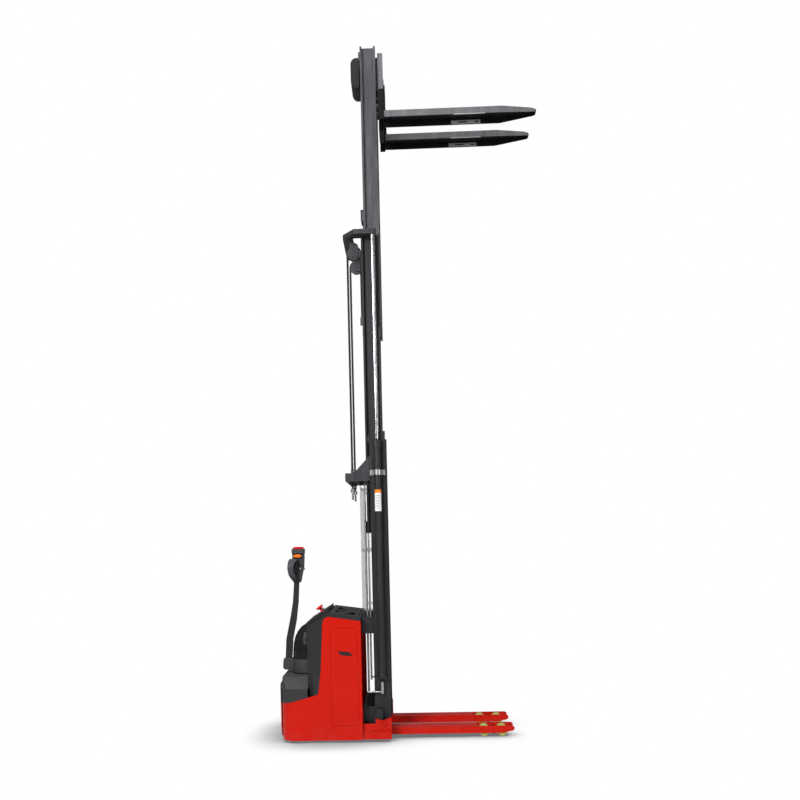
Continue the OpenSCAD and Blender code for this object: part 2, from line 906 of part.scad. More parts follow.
module tiller_head() {
    color(plastic)
        translate([0, 0, grip_z])
            difference() {
                union() {
                    // Pod, from its collar to the cap, with a wider crown
                    slab_y(-34, 34)
                        polygon([
                            [pod_x0 + 5, 0.3], [pod_x1 - 30, 0.3], [pod_x1 - 22, 40],
                            [pod_x1 - 4, 120], [pod_x1, 200], [pod_x1, 262], [pod_x0, 262],
                            [pod_x0 + 2, 170], [pod_x0 + 10, 60]
                        ]);
                    block(pod_x0, pod_x1, -62, 62, 229, 262);
                    // Loops, bowed back behind the pod
                    both()
                        intersection() {
                            translate([pod_x0 - 30, 0, 0])
                                rotate([90, 0, 90])
                                    linear_extrude(90)
                                        loop_outline();
                            slab_y(0, grip_w)
                                loop_side();
                        }
                }
                // Bore of the throttle shaft, and pockets of the buttons
                bar_y(wing_x, wing_z, 9 + run_fit, -40, 40);
                bar_x(0, 103, 8 + run_fit, pod_x1 - 40, pod_x1 + 1);
                bar_y(pod_x1 - 28, 108, 8 + run_fit, -36, -18);
                block(pod_x0 + 8, pod_x1 - 8, -26, 26, 248, 263);
            }
}

// Butterfly throttle: a shaft through the pod with a wing at each end
module throttle() {
    z = grip_z + wing_z;
    color(orange) {
        bar_y(wing_x, z, 9, -60, 60);
        both()
            slab_y(35, 60)
                polygon([
                    [wing_x - 32, z - 6], [wing_x - 32, z + 4], [wing_x - 14, z + 12], [wing_x + 14, z + 12],
                    [wing_x + 32, z + 4], [wing_x + 32, z - 6], [wing_x + 12, z - 12], [wing_x - 12, z - 12]
                ]);
    }
}

module belly_button() {
    color(red)
        translate([0, 0, grip_z]) {
            block(pod_x0 + 8.3, pod_x1 - 8.3, -25.7, 25.7, 252, 266);
            slab_y(-32, 32)
                polygon([
                    [pod_x0 + 2, 266], [pod_x1 - 1, 266], [pod_x1 - 6, 275],
                    [pod_x1 - 28, 279], [pod_x0 + 28, 279], [pod_x0 + 8, 275]
                ]);
        }
}

module lift_rocker() {
    color(coal)
        bar_x(0, grip_z + 103, 8, pod_x1 - 36, pod_x1 + 1.5);
}

module horn_button() {
    color(steel)
        bar_y(pod_x1 - 28, grip_z + 108, 8, -37, -22);
}

module stop_button() {
    color(red)
        on_dash(0) {
            translate([0, 0, -40])
                cylinder(r = stop_bore_r, h = 50);
            translate([0, 0, 9])
                cylinder(r = 18, h = 10);
            translate([0, 0, 16])
                cylinder(r = stop_d / 2, h = 9);
            translate([0, 0, 25])
                cylinder(r1 = stop_d / 2, r2 = stop_d / 2 - 9, h = 6);
        }
}

module key_switch() {
    color(steel)
        on_dash(key_y) {
            translate([0, 0, -30])
                cylinder(r = key_r, h = 34);
            translate([-1.5, -8, 4])
                cube([3, 16, 20]);
        }
}

// ---- Castors ----

module castor(side) {
    y = side * castor_y;
    x_axle = castor_x - castor_trail;
    color(steel)
        difference() {
            union() {
                bar_z(castor_x, y, stem_r, castor_pad_z - 6, plate_z);
                bar_z(castor_x, y, 42, castor_pad_z - 14, castor_pad_z - slide_gap);
                for (s = [-1, 1])
                    slab_y(y + s * 28 - 3, y + s * 28 + 3)
                        polygon([
                            [castor_x + 34, castor_pad_z - 10], [castor_x - 34, castor_pad_z - 10],
                            [x_axle - 14, castor_r], [x_axle, castor_r - 14], [x_axle + 14, castor_r]
                        ]);
                bar_y(x_axle, castor_r, castor_axle_r, y - 31, y + 31);
            }
        }
}

module castor_wheel(side) {
    color(plastic)
        translate([castor_x - castor_trail, side * castor_y, castor_r])
            rotate([90, 0, 0])
                difference() {
                    union() {
                        cylinder(r = castor_r, h = 34, center = true);
                        cylinder(r = castor_r - 6, h = 44, center = true);
                    }
                    cylinder(r = castor_axle_r + run_fit, h = 50, center = true);
                }
}

// ---- Mast ----

// One rail section: two flanges from y0 to y1 joined by a web
module rail(x0, x1, y0, y1, w0, w1, z0, z1) {
    slab_z(z0, z1) {
        translate([x0, y0])
            square([flange_t, y1 - y0]);
        translate([x1 - flange_t, y0])
            square([flange_t, y1 - y0]);
        translate([x0 + 1, w0])
            square([x1 - x0 - 2, w1 - w0]);
    }
}

module outer_mast() {
    color(coal)
        both() {
            difference() {
                rail(-rail_d, 0, outer_in, mast_y, outer_web, mast_y, 45, outer_h);
                // Room for the top rollers
                block(-rail_d - 1, -rail_d + flange_t + 1, outer_in - 1, outer_web,
                    outer_roller_z - notch_h / 2, outer_h + 1);
            }
            bar_y(middle_bay_x, outer_roller_z, axle_r, outer_web - roller_w - 4, outer_web + 1);
            // Foot block beside the rail, and the seat of the side cylinder
            block(-115, -60, mast_y, mast_y + 40, 60, bracket_h + 60);
            difference() {
                block(side_cyl_x - 36, side_cyl_x + 36, mast_y, side_cyl_y + 24, seat_z - 12, seat_z);
                bar_z(side_cyl_x, side_cyl_y, 9, seat_z - 13, seat_z + 1);
            }
            // Ties between the rails: this half of each
            for (z = [[110, 250], [800, 920]])
                difference() {
                    block(front_x + 3, -rail_d + 1, 0, mast_y, z[0], z[1]);
                    block(front_x + 15, -rail_d + 2, -1, mast_y - 8, z[0] - 1, z[1] + 1);
                }
        }
}

// Beam behind the outer stage that anchors the lift chains
module chain_beam() {
    color(coal)
        difference() {
            union() {
                block(beam_x0, beam_x1, -beam_arm_y, beam_arm_y, beam_z, beam_z + beam_h);
                both() {
                    block(beam_x1 - 1, -rail_d, mast_y + slide_gap, beam_arm_y, beam_z, beam_z + beam_h);
                    slab_y(mast_y + slide_gap, beam_arm_y)
                        polygon([
                            [-rail_d + 20, beam_z + beam_h - 1], [beam_x1 - 6, beam_z + beam_h - 1],
                            [beam_x1 - 6, beam_z + beam_h + 12], [-rail_d, beam_z + beam_h + 128],
                            [-rail_d + 20, beam_z + beam_h + 128]
                        ]);
                    bar_z(strand_rear, chain_y, 8, beam_z - 50, beam_z + beam_h + 30);
                    for (z = [beam_z - 16, beam_z - 34])
                        bar_z(strand_rear, chain_y, 13, z, z + 12);
                    block(strand_rear - 10, strand_rear + 10, chain_y - 9, chain_y + 9,
                        beam_z + beam_h - 1, beam_z + beam_h + 40);
                }
            }
            // Lightening hollow seen from below
            block(beam_x0 + 14, beam_x1 - 8, -chain_y + 30, chain_y - 30, beam_z - 1, beam_z + beam_h - 10);
        }
}

module cylinder_tubes() {
    color(coal)
        both()
            translate([side_cyl_x, side_cyl_y, 0])
                difference() {
                    union() {
                        bar_z(0, 0, tube_d / 2, seat_z, gland_z);
                        bar_z(0, 0, gland_d / 2, gland_z, gland_z + gland_h);
                        translate([0, 0, seat_z])
                            cylinder(r1 = tube_d / 2 + 4.5, r2 = tube_d / 2, h = 30);
                        bar_z(0, 0, 8, seat_z - 40, seat_z);
                    }
                    bar_z(0, 0, tube_d / 2 - 6, seat_z + 14, gland_z - 1);
                    bar_z(0, 0, rod_d / 2 + run_fit, gland_z - 2, gland_z + gland_h + 1);
                }
}

strap_y = beam_arm_y + slide_gap;

module cylinder_clamps() {
    color(steel)
        both()
            difference() {
                union() {
                    bar_z(side_cyl_x, side_cyl_y, tube_d / 2 + 5, clamp_z, clamp_z + clamp_h);
                    block(side_cyl_x - 58, side_cyl_x + 58, strap_y, strap_y + 6, clamp_z, clamp_z + clamp_h);
                    block(side_cyl_x - 32, side_cyl_x + 32, mast_y, side_cyl_y, clamp_z, clamp_z + clamp_h);
                    for (s = [-1, 1])
                        bar_y(side_cyl_x + s * 46, clamp_z + clamp_h / 2, 8, strap_y + 5, strap_y + 12);
                }
                bar_z(side_cyl_x, side_cyl_y, tube_d / 2 + run_fit, clamp_z - 1, clamp_z + clamp_h + 1);
            }
}

guard_x = front_x + 12;
guard_z0 = side_h - 5;
guard_z1 = beam_z - 35;

module mast_guard() {
    color([0.8, 0.86, 0.88, 0.35])
        block(guard_x, guard_x + 4, 3 - mast_y, mast_y - 3, guard_z0, guard_z1);
    color(coal)
        for (z = [guard_z0 + 10, (guard_z0 + guard_z1) / 2 - 20, guard_z1 - 40])
            both()
                block(guard_x + 4, -rail_d, mast_y - 7, mast_y - 3, z, z + 22);
}

line_x = middle_x0 - 16;
line_y = mast_y - 56;

// Pipes and hoses that are clipped behind the outer stage
module hydraulic_lines() {
    color(steel)
        both() {
            bar_z(side_cyl_x, side_cyl_y, 11, 352, seat_z - 40);
            bar_x(side_cyl_y, 366, 7, line_x - 7, side_cyl_x);
            bar_y(line_x, 366, 7, line_y, side_cyl_y);
            bar_z(line_x, line_y, 6, beam_z - 160, beam_z - 20);
        }
    color(plastic)
        both()
            bar_z(line_x, line_y, 8, 358, beam_z - 160);
}

module middle_mast() {
    color(coal) {
        both() {
            difference() {
                rail(middle_x0, middle_x1, middle_in, middle_out, middle_web,
                    middle_web + middle_web_t, middle_z0, middle_z1);
                // Room for the low rollers outside and the top rollers inside
                block(middle_x1 - flange_t - 1, middle_x1 + 1, outer_in, middle_out + 1,
                    middle_z0 - 1, middle_low_z + notch_h / 2);
                block(middle_x1 - flange_t - 1, middle_x1 + 1, middle_in - 1, middle_web,
                    middle_top_z - notch_h / 2, middle_z1 + 1);
            }
            bar_y(outer_bay_x, middle_low_z, axle_r, middle_web + 1, middle_out);
            bar_y(inner_bay_x, middle_top_z, axle_r, middle_in, middle_web + 1);
        }
        // Tie across the foot
        block(middle_x0 - 10, middle_x0 + 1, -middle_in - 8, middle_in + 8, middle_z0, middle_z0 + 90);
    }
}

// Plate on top of the middle stage that the side rods push on
module crosshead() {
    color(coal) {
        difference() {
            slab_z(middle_z1, middle_z1 + head_t)
                difference() {
                    polygon([
                        [head_x0, -head_out + 125], [head_x0 + 90, -head_out], [head_x1 - 12, -head_out],
                        [head_x1, -head_out + 12], [head_x1, head_out - 12], [head_x1 - 12, head_out],
                        [head_x0 + 90, head_out], [head_x0, head_out - 125]
                    ]);
                    translate([head_open_x, -inner_out - 2])
                        square([head_x1 - head_open_x + 1, 2 * inner_out + 4]);
                }
        }
        // Cheeks that carry each chain pulley's axle
        both() {
            for (y = [chain_y - chain_w / 2 - 13, chain_y + chain_w / 2 + 5])
                slab_y(y, y + 8)
                    polygon([
                        [lift_pulley_x - 32, middle_z1 + 1], [lift_pulley_x - 32, lift_pulley_z - 20],
                        [lift_pulley_x - 16, lift_pulley_z - 34], [lift_pulley_x + 16, lift_pulley_z - 34],
                        [lift_pulley_x + 32, lift_pulley_z - 20], [lift_pulley_x + 32, middle_z1 - 28],
                        [head_open_x - 2, middle_z1 - 6], [head_open_x - 2, middle_z1 + 1]
                    ]);
            bar_y(lift_pulley_x, lift_pulley_z, axle_r, chain_y - chain_w / 2 - 14,
                chain_y + chain_w / 2 + 14);
        }
    }
}

module cylinder_rods() {
    color(steel)
        both()
            bar_z(side_cyl_x, side_cyl_y, rod_d / 2, side_rod_low, middle_z1);
}

module inner_mast() {
    color(coal) {
        both() {
            difference() {
                rail(inner_x0, inner_x1, inner_in, inner_out, inner_web,
                    inner_web + inner_web_t, inner_z0, inner_z1);
                // Room for the low rollers outside
                block(inner_x0 - 1, inner_x0 + flange_t + 1, inner_web + inner_web_t, inner_out + 1,
                    inner_z0 - 1, inner_roller_z + notch_h / 2);
            }
            bar_y(middle_bay_x, inner_roller_z, axle_r, inner_web + inner_web_t - 1, inner_out);
            // Lug that the lift chain pulls on
            block(strand_front - 14, inner_x0, chain_y - 14, chain_y + 14, lug_z, lug_z + lug_h);
        }
        // Ties behind the rails
        for (z = [inner_z0 + 10, free_lug_z + 60, inner_z1 - 75])
            block(inner_x0 - tie_t, inner_x0 + 1, -inner_in - 20, inner_in + 20, z, z + 62);
        // Shelf under the free-lift cylinder
        block(inner_x0 - tie_t, free_x + 40, -60, 60, free_z0 - 20, free_z0);
    }
}

module free_lift_cylinder() {
    color(coal)
        difference() {
            union() {
                bar_z(free_x, 0, free_d / 2, free_z0, free_z0 + free_tube_h);
                bar_z(free_x, 0, free_d / 2 + 4, free_z0 + free_tube_h - 50, free_z0 + free_tube_h);
                // Chain anchor strapped to the tube and the tie behind it
                block(inner_x0 - tie_t - 14, free_x - 20, -yoke_y - 16, yoke_y + 16,
                    free_lug_z + 122.3, free_lug_z + free_lug_h);
            }
            bar_z(free_x, 0, free_d / 2 - 6, free_z0 + 12, free_z0 + free_tube_h - 10);
            bar_z(free_x, 0, rod_d / 2 + run_fit, free_z0 + free_tube_h - 11, free_z0 + free_tube_h + 1);
        }
}

// Rod of the free-lift cylinder with the yoke that carries its pulleys
module free_lift_yoke() {
    rod_low = free_z0 + 15 + free_stroke / 2;
    color(steel)
        bar_z(free_x, 0, rod_d / 2, rod_low, yoke_z - 30);
    color(coal) {
        block(free_x - 26, free_x + 26, -34, 34, yoke_z - 30, yoke_z + 26);
        bar_y(free_x, yoke_z, axle_r, -yoke_y - 18, yoke_y + 18);
    }
}

// D-shaped cover behind the head of the inner stage
module top_guard() {
    depth = 79;
    guard_h = 230;
    z0 = inner_z1 - 5 - guard_h;
    x1 = inner_x0 - tie_t - slide_gap;
    color(plastic)
        difference() {
            slab_y(-110, 110)
                d_outline(x1, z0, depth - tie_t, guard_h);
            slab_y(-102, 102)
                translate([0, 6])
                    d_outline(x1 + 1, z0, depth - tie_t - 7, guard_h - 12);
        }
}

module d_outline(x1, z0, depth, h) {
    polygon(concat(
        [[x1, z0 + h], [x1, z0]],
        [for (a = [0:10:90]) [x1 - depth * 0.3 - depth * 0.7 * sin(a), z0 + 60 - 60 * cos(a)]],
        [for (a = [0:10:90]) [x1 - depth * 0.3 - depth * 0.7 * cos(a), z0 + h - 50 + 50 * sin(a)]]
    ));
}

module carriage_frame() {
    color(coal)
        difference() {
            union() {
                both() {
                    // Roller arm and the column in front of it
                    block(inner_bay_x - 42, plate_x0 + 1, arm_out - arm_t, arm_out,
                        carriage_low_z - 50, carriage_top_z + 46);
                    block(plate_x0, plate_x1, arm_out - arm_t, arm_out + 32, fork_z + 196, carriage_top);
                    for (z = [carriage_low_z, carriage_top_z])
                        bar_y(inner_bay_x, z, axle_r, arm_out - 1, inner_web - 1);
                    // Ear for the free-lift chain
                    block(free_front - 12, plate_x0 + 10, yoke_y - 14, yoke_y + 14,
                        carriage_low_z - 36, carriage_low_z - 8);
                }
                block(plate_x0, plate_x1 - 6, -arm_out, arm_out, carriage_top - 74, carriage_top - 12);
                block(plate_x0, plate_x1 - 6, -arm_out, arm_out, carriage_low_z - 36, carriage_low_z + 30);
                block(plate_x0, plate_x1 - 6, fork_half + slide_gap - leg_y, leg_y - fork_half - slide_gap,
                    carriage_low, fork_z + 22);
                both()
                    block(plate_x0, plate_x1 - 14, 60, 84, fork_z + 20, carriage_low_z - 34);
            }
        }
}

module fork_plan(t) {
    polygon([
        [plate_x1 + slide_gap, t - fork_half], [heel_x + fork_l - taper_l, t - fork_half],
        [heel_x + fork_l - 14, t - fork_tip_w / 2], [heel_x + fork_l - t, t - fork_tip_w / 2 + 12],
        [heel_x + fork_l - t, fork_tip_w / 2 - 12 - t], [heel_x + fork_l - 14, fork_tip_w / 2 - t],
        [heel_x + fork_l - taper_l, fork_half - t], [plate_x1 + slide_gap, fork_half - t]
    ]);
}

// One fork: an inverted channel, closed at its heel by the shank
module fork(side) {
    tip_x = heel_x + fork_l;
    color(coal)
        translate([0, side * leg_y, fork_z]) {
            difference() {
                intersection() {
                    slab_z(-fork_t, 0)
                        fork_plan(0);
                    slab_y(-fork_half, fork_half)
                        polygon([
                            [0, -fork_t], [0, 0], [tip_x - 40, 0], [tip_x, -8], [tip_x, -26],
                            [tip_x - taper_l, -fork_t]
                        ]);
                }
                slab_z(-fork_t - 1, -fork_plate)
                    fork_plan(fork_side);
            }
            // Shank with a bevelled head
            slab_y(-fork_half, fork_half)
                polygon([
                    [plate_x1 + slide_gap, -fork_plate], [plate_x1 + slide_gap, 170],
                    [plate_x1 + 8, 190], [plate_x1 + 14, 190], [plate_x1 + 14, 8],
                    [plate_x1 + 30, -fork_plate]
                ]);
            // Hooks that hang the fork on the carriage's lower bar
            block(plate_x0, plate_x1 + 1, -fork_half, 10 - fork_half, -62, 164);
            block(plate_x0, plate_x1 + 1, fork_half - 10, fork_half, -62, 164);
            // Wear strip and slotted plate under the top
            block(470, 680, -side * (fork_half - 22) - 8, -side * (fork_half - 22) + 8,
                -fork_plate - 5, -fork_plate);
            difference() {
                block(530, 710, side * 20 - 22, side * 20 + 22, -fork_plate - 4, -fork_plate + 1);
                block(556, 590, side * 20 - 8, side * 20 + 8, -fork_plate - 5, -fork_plate);
                block(662, 690, side * 20 - 8, side * 20 + 8, -fork_plate - 5, -fork_plate);
            }
        }
}

// ---- Rollers, pulleys and chains ----

// A pair of mast rollers, one behind each rail
module roller_pair(x, z, r, y0, y1) {
    color(steel)
        both()
            difference() {
                union() {
                    bar_y(x, z, r - 3, y0, y1);
                    bar_y(x, z, r, y0 + 4, y1 - 4);
                }
                bar_y(x, z, axle_r + run_fit, y0 - 1, y1 + 1);
            }
}

// A pair of chain pulleys with a groove for the chain
module pulley_pair(x, z, wrap_r, y_mid) {
    groove_r = wrap_r - chain_t / 2 - 0.5;
    half = chain_w / 2;
    color(steel)
        both()
            difference() {
                union() {
                    bar_y(x, z, groove_r, y_mid - half - 3, y_mid + half + 3);
                    for (s = [-1, 1])
                        translate([0, y_mid + s * (half + 2.5), 0])
                            bar_y(x, z, wrap_r - 1, -1.5, 1.5);
                }
                bar_y(x, z, axle_r + run_fit, y_mid - half - 5, y_mid + half + 5);
            }
}

// Chain over one pulley: two straight strands and the half turn between them
module chain_run(x, z, wrap_r, y_mid, rear_z, front_z) {
    h = chain_t / 2;
    w = chain_w / 2 - 1;
    block(x - wrap_r - h, x - wrap_r + h, y_mid - w, y_mid + w, rear_z, z);
    block(x + wrap_r - h, x + wrap_r + h, y_mid - w, y_mid + w, front_z, z);
    translate([x, y_mid, z])
        rotate([90, 0, 0])
            intersection() {
                difference() {
                    cylinder(r = wrap_r + h, h = 2 * w, center = true, $fn = 96);
                    cylinder(r = wrap_r - h, h = 2 * w + 1, center = true, $fn = 96);
                }
                translate([-wrap_r - 20, -0.5, -w - 1])
                    cube([2 * wrap_r + 40, wrap_r + 20, 2 * w + 2]);
            }
}

module lift_chains() {
    color(coal)
        both()
            chain_run(lift_pulley_x, lift_pulley_z, lift_wrap_r, chain_y,
                beam_z + beam_h + 40, lug_z + lug_h);
}

module free_lift_chains() {
    color(coal)
        both()
            chain_run(free_x, yoke_z, yoke_wrap_r, yoke_y,
                free_lug_z + free_lug_h, carriage_low_z - 8);
}

placed() chassis_frame();
placed() leg(1);  // left_leg
placed() leg(-1);  // right_leg
placed() body_shell();
placed() side_doors();
placed() top_cover();
placed() drive_cover();
placed() rear_bumper();
placed() battery_pack();
placed() pump_unit();
placed() controller();
placed() outer_mast();
placed() chain_beam();
placed() cylinder_tubes();
placed() cylinder_clamps();
placed() mast_guard();
placed() hydraulic_lines();
placed() middle_mast();
placed() crosshead();
placed() cylinder_rods();
placed() inner_mast();
placed() free_lift_cylinder();
placed() top_guard();
placed() carriage_frame();
placed() fork(1);  // left_fork
placed() fork(-1);  // right_fork
placed() free_lift_yoke();
placed()  // outer_rollers
    roller_pair(middle_bay_x, outer_roller_z, outer_bay_r, outer_web - 30, outer_web - 2);
placed()  // middle_low_rollers
    roller_pair(outer_bay_x, middle_low_z, outer_bay_r, outer_in + 2, outer_web - 2);
placed()  // middle_top_rollers
    roller_pair(inner_bay_x, middle_top_z, inner_bay_r, middle_in + 1, middle_web - 1);
placed()  // inner_rollers
    roller_pair(middle_bay_x, inner_roller_z, outer_bay_r, middle_in + 1, middle_web - 2);
placed()  // carriage_low_rollers
    roller_pair(inner_bay_x, carriage_low_z, inner_bay_r, inner_in + 2, inner_web - 2);
placed()  // carriage_top_rollers
    roller_pair(inner_bay_x, carriage_top_z, inner_bay_r, inner_in + 2, inner_web - 2);
placed()  // lift_pulleys
    pulley_pair(lift_pulley_x, lift_pulley_z, lift_wrap_r, chain_y);
placed()  // yoke_pulleys
    pulley_pair(free_x, yoke_z, yoke_wrap_r, yoke_y);
placed() lift_chains();
placed() free_lift_chains();
placed() steering_head();
placed() drive_unit();
placed() drive_wheel();
placed() tiller_arm();
placed() tiller_head();
placed() throttle();
placed() belly_button();
placed() lift_rocker();
placed() horn_button();
placed() castor(1);  // left_castor
placed() castor(-1);  // right_castor
placed() castor_wheel(1);  // left_castor_wheel
placed() castor_wheel(-1);  // right_castor_wheel
placed() bogie(1);  // left_bogie
placed() bogie(-1);  // right_bogie
placed() load_wheel(1, 1);  // left_front_wheel
placed() load_wheel(1, -1);  // left_rear_wheel
placed() load_wheel(-1, 1);  // right_front_wheel
placed() load_wheel(-1, -1);  // right_rear_wheel
placed() stop_button();
placed() key_switch();
placed() storage_lid();
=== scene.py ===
import math

import bmesh
import bpy
from mathutils import Matrix, Vector


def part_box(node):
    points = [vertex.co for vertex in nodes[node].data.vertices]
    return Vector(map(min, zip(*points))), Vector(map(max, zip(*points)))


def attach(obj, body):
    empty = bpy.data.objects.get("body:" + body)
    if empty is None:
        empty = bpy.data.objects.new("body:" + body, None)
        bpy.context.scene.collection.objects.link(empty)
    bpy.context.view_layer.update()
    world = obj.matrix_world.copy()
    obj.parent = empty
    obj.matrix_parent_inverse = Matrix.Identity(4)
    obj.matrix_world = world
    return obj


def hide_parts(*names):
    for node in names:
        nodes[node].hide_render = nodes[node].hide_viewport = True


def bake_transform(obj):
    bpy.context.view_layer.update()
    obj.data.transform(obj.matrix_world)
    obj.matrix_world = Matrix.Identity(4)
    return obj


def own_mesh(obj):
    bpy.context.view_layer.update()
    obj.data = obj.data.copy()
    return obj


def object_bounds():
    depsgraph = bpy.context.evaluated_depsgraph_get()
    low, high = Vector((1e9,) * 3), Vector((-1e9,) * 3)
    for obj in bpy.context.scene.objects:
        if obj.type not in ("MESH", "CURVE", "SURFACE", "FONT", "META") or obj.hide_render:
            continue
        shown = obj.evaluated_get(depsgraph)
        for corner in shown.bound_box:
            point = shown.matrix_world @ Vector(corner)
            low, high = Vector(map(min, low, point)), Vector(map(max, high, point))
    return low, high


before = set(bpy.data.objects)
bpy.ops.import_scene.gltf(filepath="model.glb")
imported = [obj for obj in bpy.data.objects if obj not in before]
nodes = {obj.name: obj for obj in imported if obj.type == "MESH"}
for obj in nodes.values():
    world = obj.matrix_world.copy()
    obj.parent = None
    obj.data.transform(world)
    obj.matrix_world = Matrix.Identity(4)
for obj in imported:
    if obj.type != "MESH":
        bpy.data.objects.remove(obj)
cad_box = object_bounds()


# ---------------------------------------------------------------- measures from the frame

def low(node, axis):
    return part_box(node)[0][axis]


def high(node, axis):
    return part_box(node)[1][axis]


def mid(node, axis):
    return (low(node, axis) + high(node, axis)) / 2


# Forks: a channel below FORK_TOP, with a taper towards the tip
FORK_HALF = (high("left_fork", 1) - low("left_fork", 1)) / 2
FORK_TOP = high("left_fork", 2) - 0.190
FORK_FOOT = FORK_TOP - 0.048
TAPER_L, TIP_HALF, HEEL_X = 0.262, 0.038, -0.119
# Pale strips under the channels' edges, slotted plates on their walls
STRIP_X = (0.405, 0.640)
PLATE_X = (0.395, 0.620)
PLATE_WEBS = ((0.395, 0.447), (0.518, 0.574), (0.607, 0.620))
PLATE_Z = (FORK_FOOT + 0.004, FORK_FOOT + 0.031)
# Leaf chains: pin pitch, plates, and where the two pairs run
PITCH, PLATE_HALF, WAIST, PIN_R = 0.015875, 0.0086, 0.0066, 0.0030
CHAIN_W, CHAIN_HALF_T = 0.020, 0.007
LIFT_CHAIN_Y, FREE_CHAIN_Y = 0.180, 0.062
FRONT_LUG_TOP = 3.210
CARRIAGE_EAR_TOP = low("carriage_low_rollers", 2) + 0.0437 - 0.008
# Side lift cylinders, their labels and bands
TUBE_X, TUBE_Y, TUBE_R = -0.228, 0.340, 0.027
LABEL_FOOT, LABEL_SPLIT, LABEL_TOP = 1.717, 1.853, 1.878
LABEL_HALF_ANGLE = 62
BAND_Z = (0.582, 1.247)
# Black blocks painted as shade behind the doors' hand slots, and the boss and ledge on the frame's mast
# bracket
DOOR_SHADE_X, DOOR_SHADE_Z = (-0.562, -0.418), (0.636, 0.690)
BOSS_X, BOSS_Z = -0.2235, 0.139
LEDGE_X, LEDGE_Z = (-0.345, -0.166), (0.079, 0.085)


# ---------------------------------------------------------------- materials

def new_material(name):
    material = bpy.data.materials.new(name)
    material.use_nodes = True
    tree = material.node_tree
    shader = tree.nodes["Principled BSDF"]
    return material, tree, shader


def set_inputs(shader, **values):
    for key, value in values.items():
        socket = shader.inputs[key.replace("_", " ")]
        socket.default_value = value


def noise(tree, scale, detail=3.0, rough=0.5, stretch=None):
    """Noise in the object's own coordinates; stretch scales the three axes."""
    place = tree.nodes.new("ShaderNodeTexCoord")
    texture = tree.nodes.new("ShaderNodeTexNoise")
    texture.inputs["Scale"].default_value = scale
    texture.inputs["Detail"].default_value = detail
    texture.inputs["Roughness"].default_value = rough
    if stretch:
        mapping = tree.nodes.new("ShaderNodeMapping")
        mapping.inputs["Scale"].default_value = stretch
        tree.links.new(place.outputs["Object"], mapping.inputs["Vector"])
        tree.links.new(mapping.outputs["Vector"], texture.inputs["Vector"])
    else:
        tree.links.new(place.outputs["Object"], texture.inputs["Vector"])
    return texture


def ramp(tree, source, stops):
    """Colour ramp over a value, with stops of (place, colour)."""
    node = tree.nodes.new("ShaderNodeValToRGB")
    tree.links.new(source, node.inputs["Fac"])
    while len(node.color_ramp.elements) < len(stops):
        node.color_ramp.elements.new(0.5)
    for element, (place, colour) in zip(node.color_ramp.elements, stops):
        element.position = place
        element.color = (*colour, 1)
    return node.outputs["Color"]


def grey_ramp(tree, source, a, b, start=0.3, end=0.7):
    return ramp(tree, source, [(start, (a, a, a)), (end, (b, b, b))])


def bump(tree, shader, source, strength, distance):
    node = tree.nodes.new("ShaderNodeBump")
    node.inputs["Strength"].default_value = strength
    node.inputs["Distance"].default_value = distance
    tree.links.new(source, node.inputs["Height"])
    tree.links.new(node.outputs["Normal"], shader.inputs["Normal"])


def mix_colour(tree, factor, a, b):
    node = tree.nodes.new("ShaderNodeMix")
    node.data_type = "RGBA"
    for socket, value in ((node.inputs[0], factor), (node.inputs[6], a), (node.inputs[7], b)):
        if isinstance(value, (int, float)):
            socket.default_value = value
        elif isinstance(value, tuple):
            socket.default_value = (*value, 1)
        else:
            tree.links.new(value, socket)
    return node.outputs[2]


def edge_highlight_mask(tree, start=0.52, end=0.6):
    """White on convex edges, from the surface's pointiness: a painted highlight along the edges."""
    geometry = tree.nodes.new("ShaderNodeNewGeometry")
    return grey_ramp(tree, geometry.outputs["Pointiness"], 0.0, 1.0, start, end)


def object_place(tree):
    """The object's own coordinates, split into X, Y and Z."""
    place = tree.nodes.new("ShaderNodeTexCoord")
    parts = tree.nodes.new("ShaderNodeSeparateXYZ")
    tree.links.new(place.outputs["Object"], parts.inputs["Vector"])
    return parts.outputs


def map_range(tree, value, from_min, from_max, to_min=0.0, to_max=1.0):
    """A clamped straight line from (from_min, to_min) to (from_max, to_max)."""
    span = tree.nodes.new("ShaderNodeMapRange")
    span.inputs["From Min"].default_value = from_min
    span.inputs["From Max"].default_value = from_max
    span.inputs["To Min"].default_value = to_min
    span.inputs["To Max"].default_value = to_max
    tree.links.new(value, span.inputs["Value"])
    return span.outputs["Result"]


def height_mask(tree, z_low, z_high):
    """1 at z_low and below, 0 at z_high and above."""
    return map_range(tree, object_place(tree)["Z"], z_low, z_high, 1.0, 0.0)


def paint(name, colour, dark, rough, coat, peel, dust, shine):
    """Powder or wet paint: faint colour drift, orange peel and a dusty foot."""
    material, tree, shader = new_material(name)
    set_inputs(shader, Roughness=rough, IOR=1.5, Specular_IOR_Level=shine,
               Coat_Weight=coat, Coat_Roughness=0.14)
    drift = noise(tree, 2.2, 4.0, 0.55)
    tone = ramp(tree, drift.outputs["Fac"], [(0.25, dark), (0.75, colour)])
    dirt = noise(tree, 14.0, 6.0, 0.7)
    near_floor = height_mask(tree, 0.0, 0.24)
    share = tree.nodes.new("ShaderNodeMath")
    share.operation = "MULTIPLY"
    tree.links.new(grey_ramp(tree, dirt.outputs["Fac"], 0.0, dust, 0.4, 0.75), share.inputs[0])
    tree.links.new(near_floor, share.inputs[1])
    tone = mix_colour(tree, share.outputs[0], tone, (0.35, 0.3, 0.27))
    tree.links.new(tone, shader.inputs["Base Color"])
    smear = noise(tree, 9.0, 5.0, 0.6)
    tree.links.new(grey_ramp(tree, smear.outputs["Fac"], rough * 0.8, rough * 1.3),
                   shader.inputs["Roughness"])
    skin = noise(tree, 420.0, 2.0, 0.5)
    bump(tree, shader, skin.outputs["Fac"], peel, 0.0004)
    return material


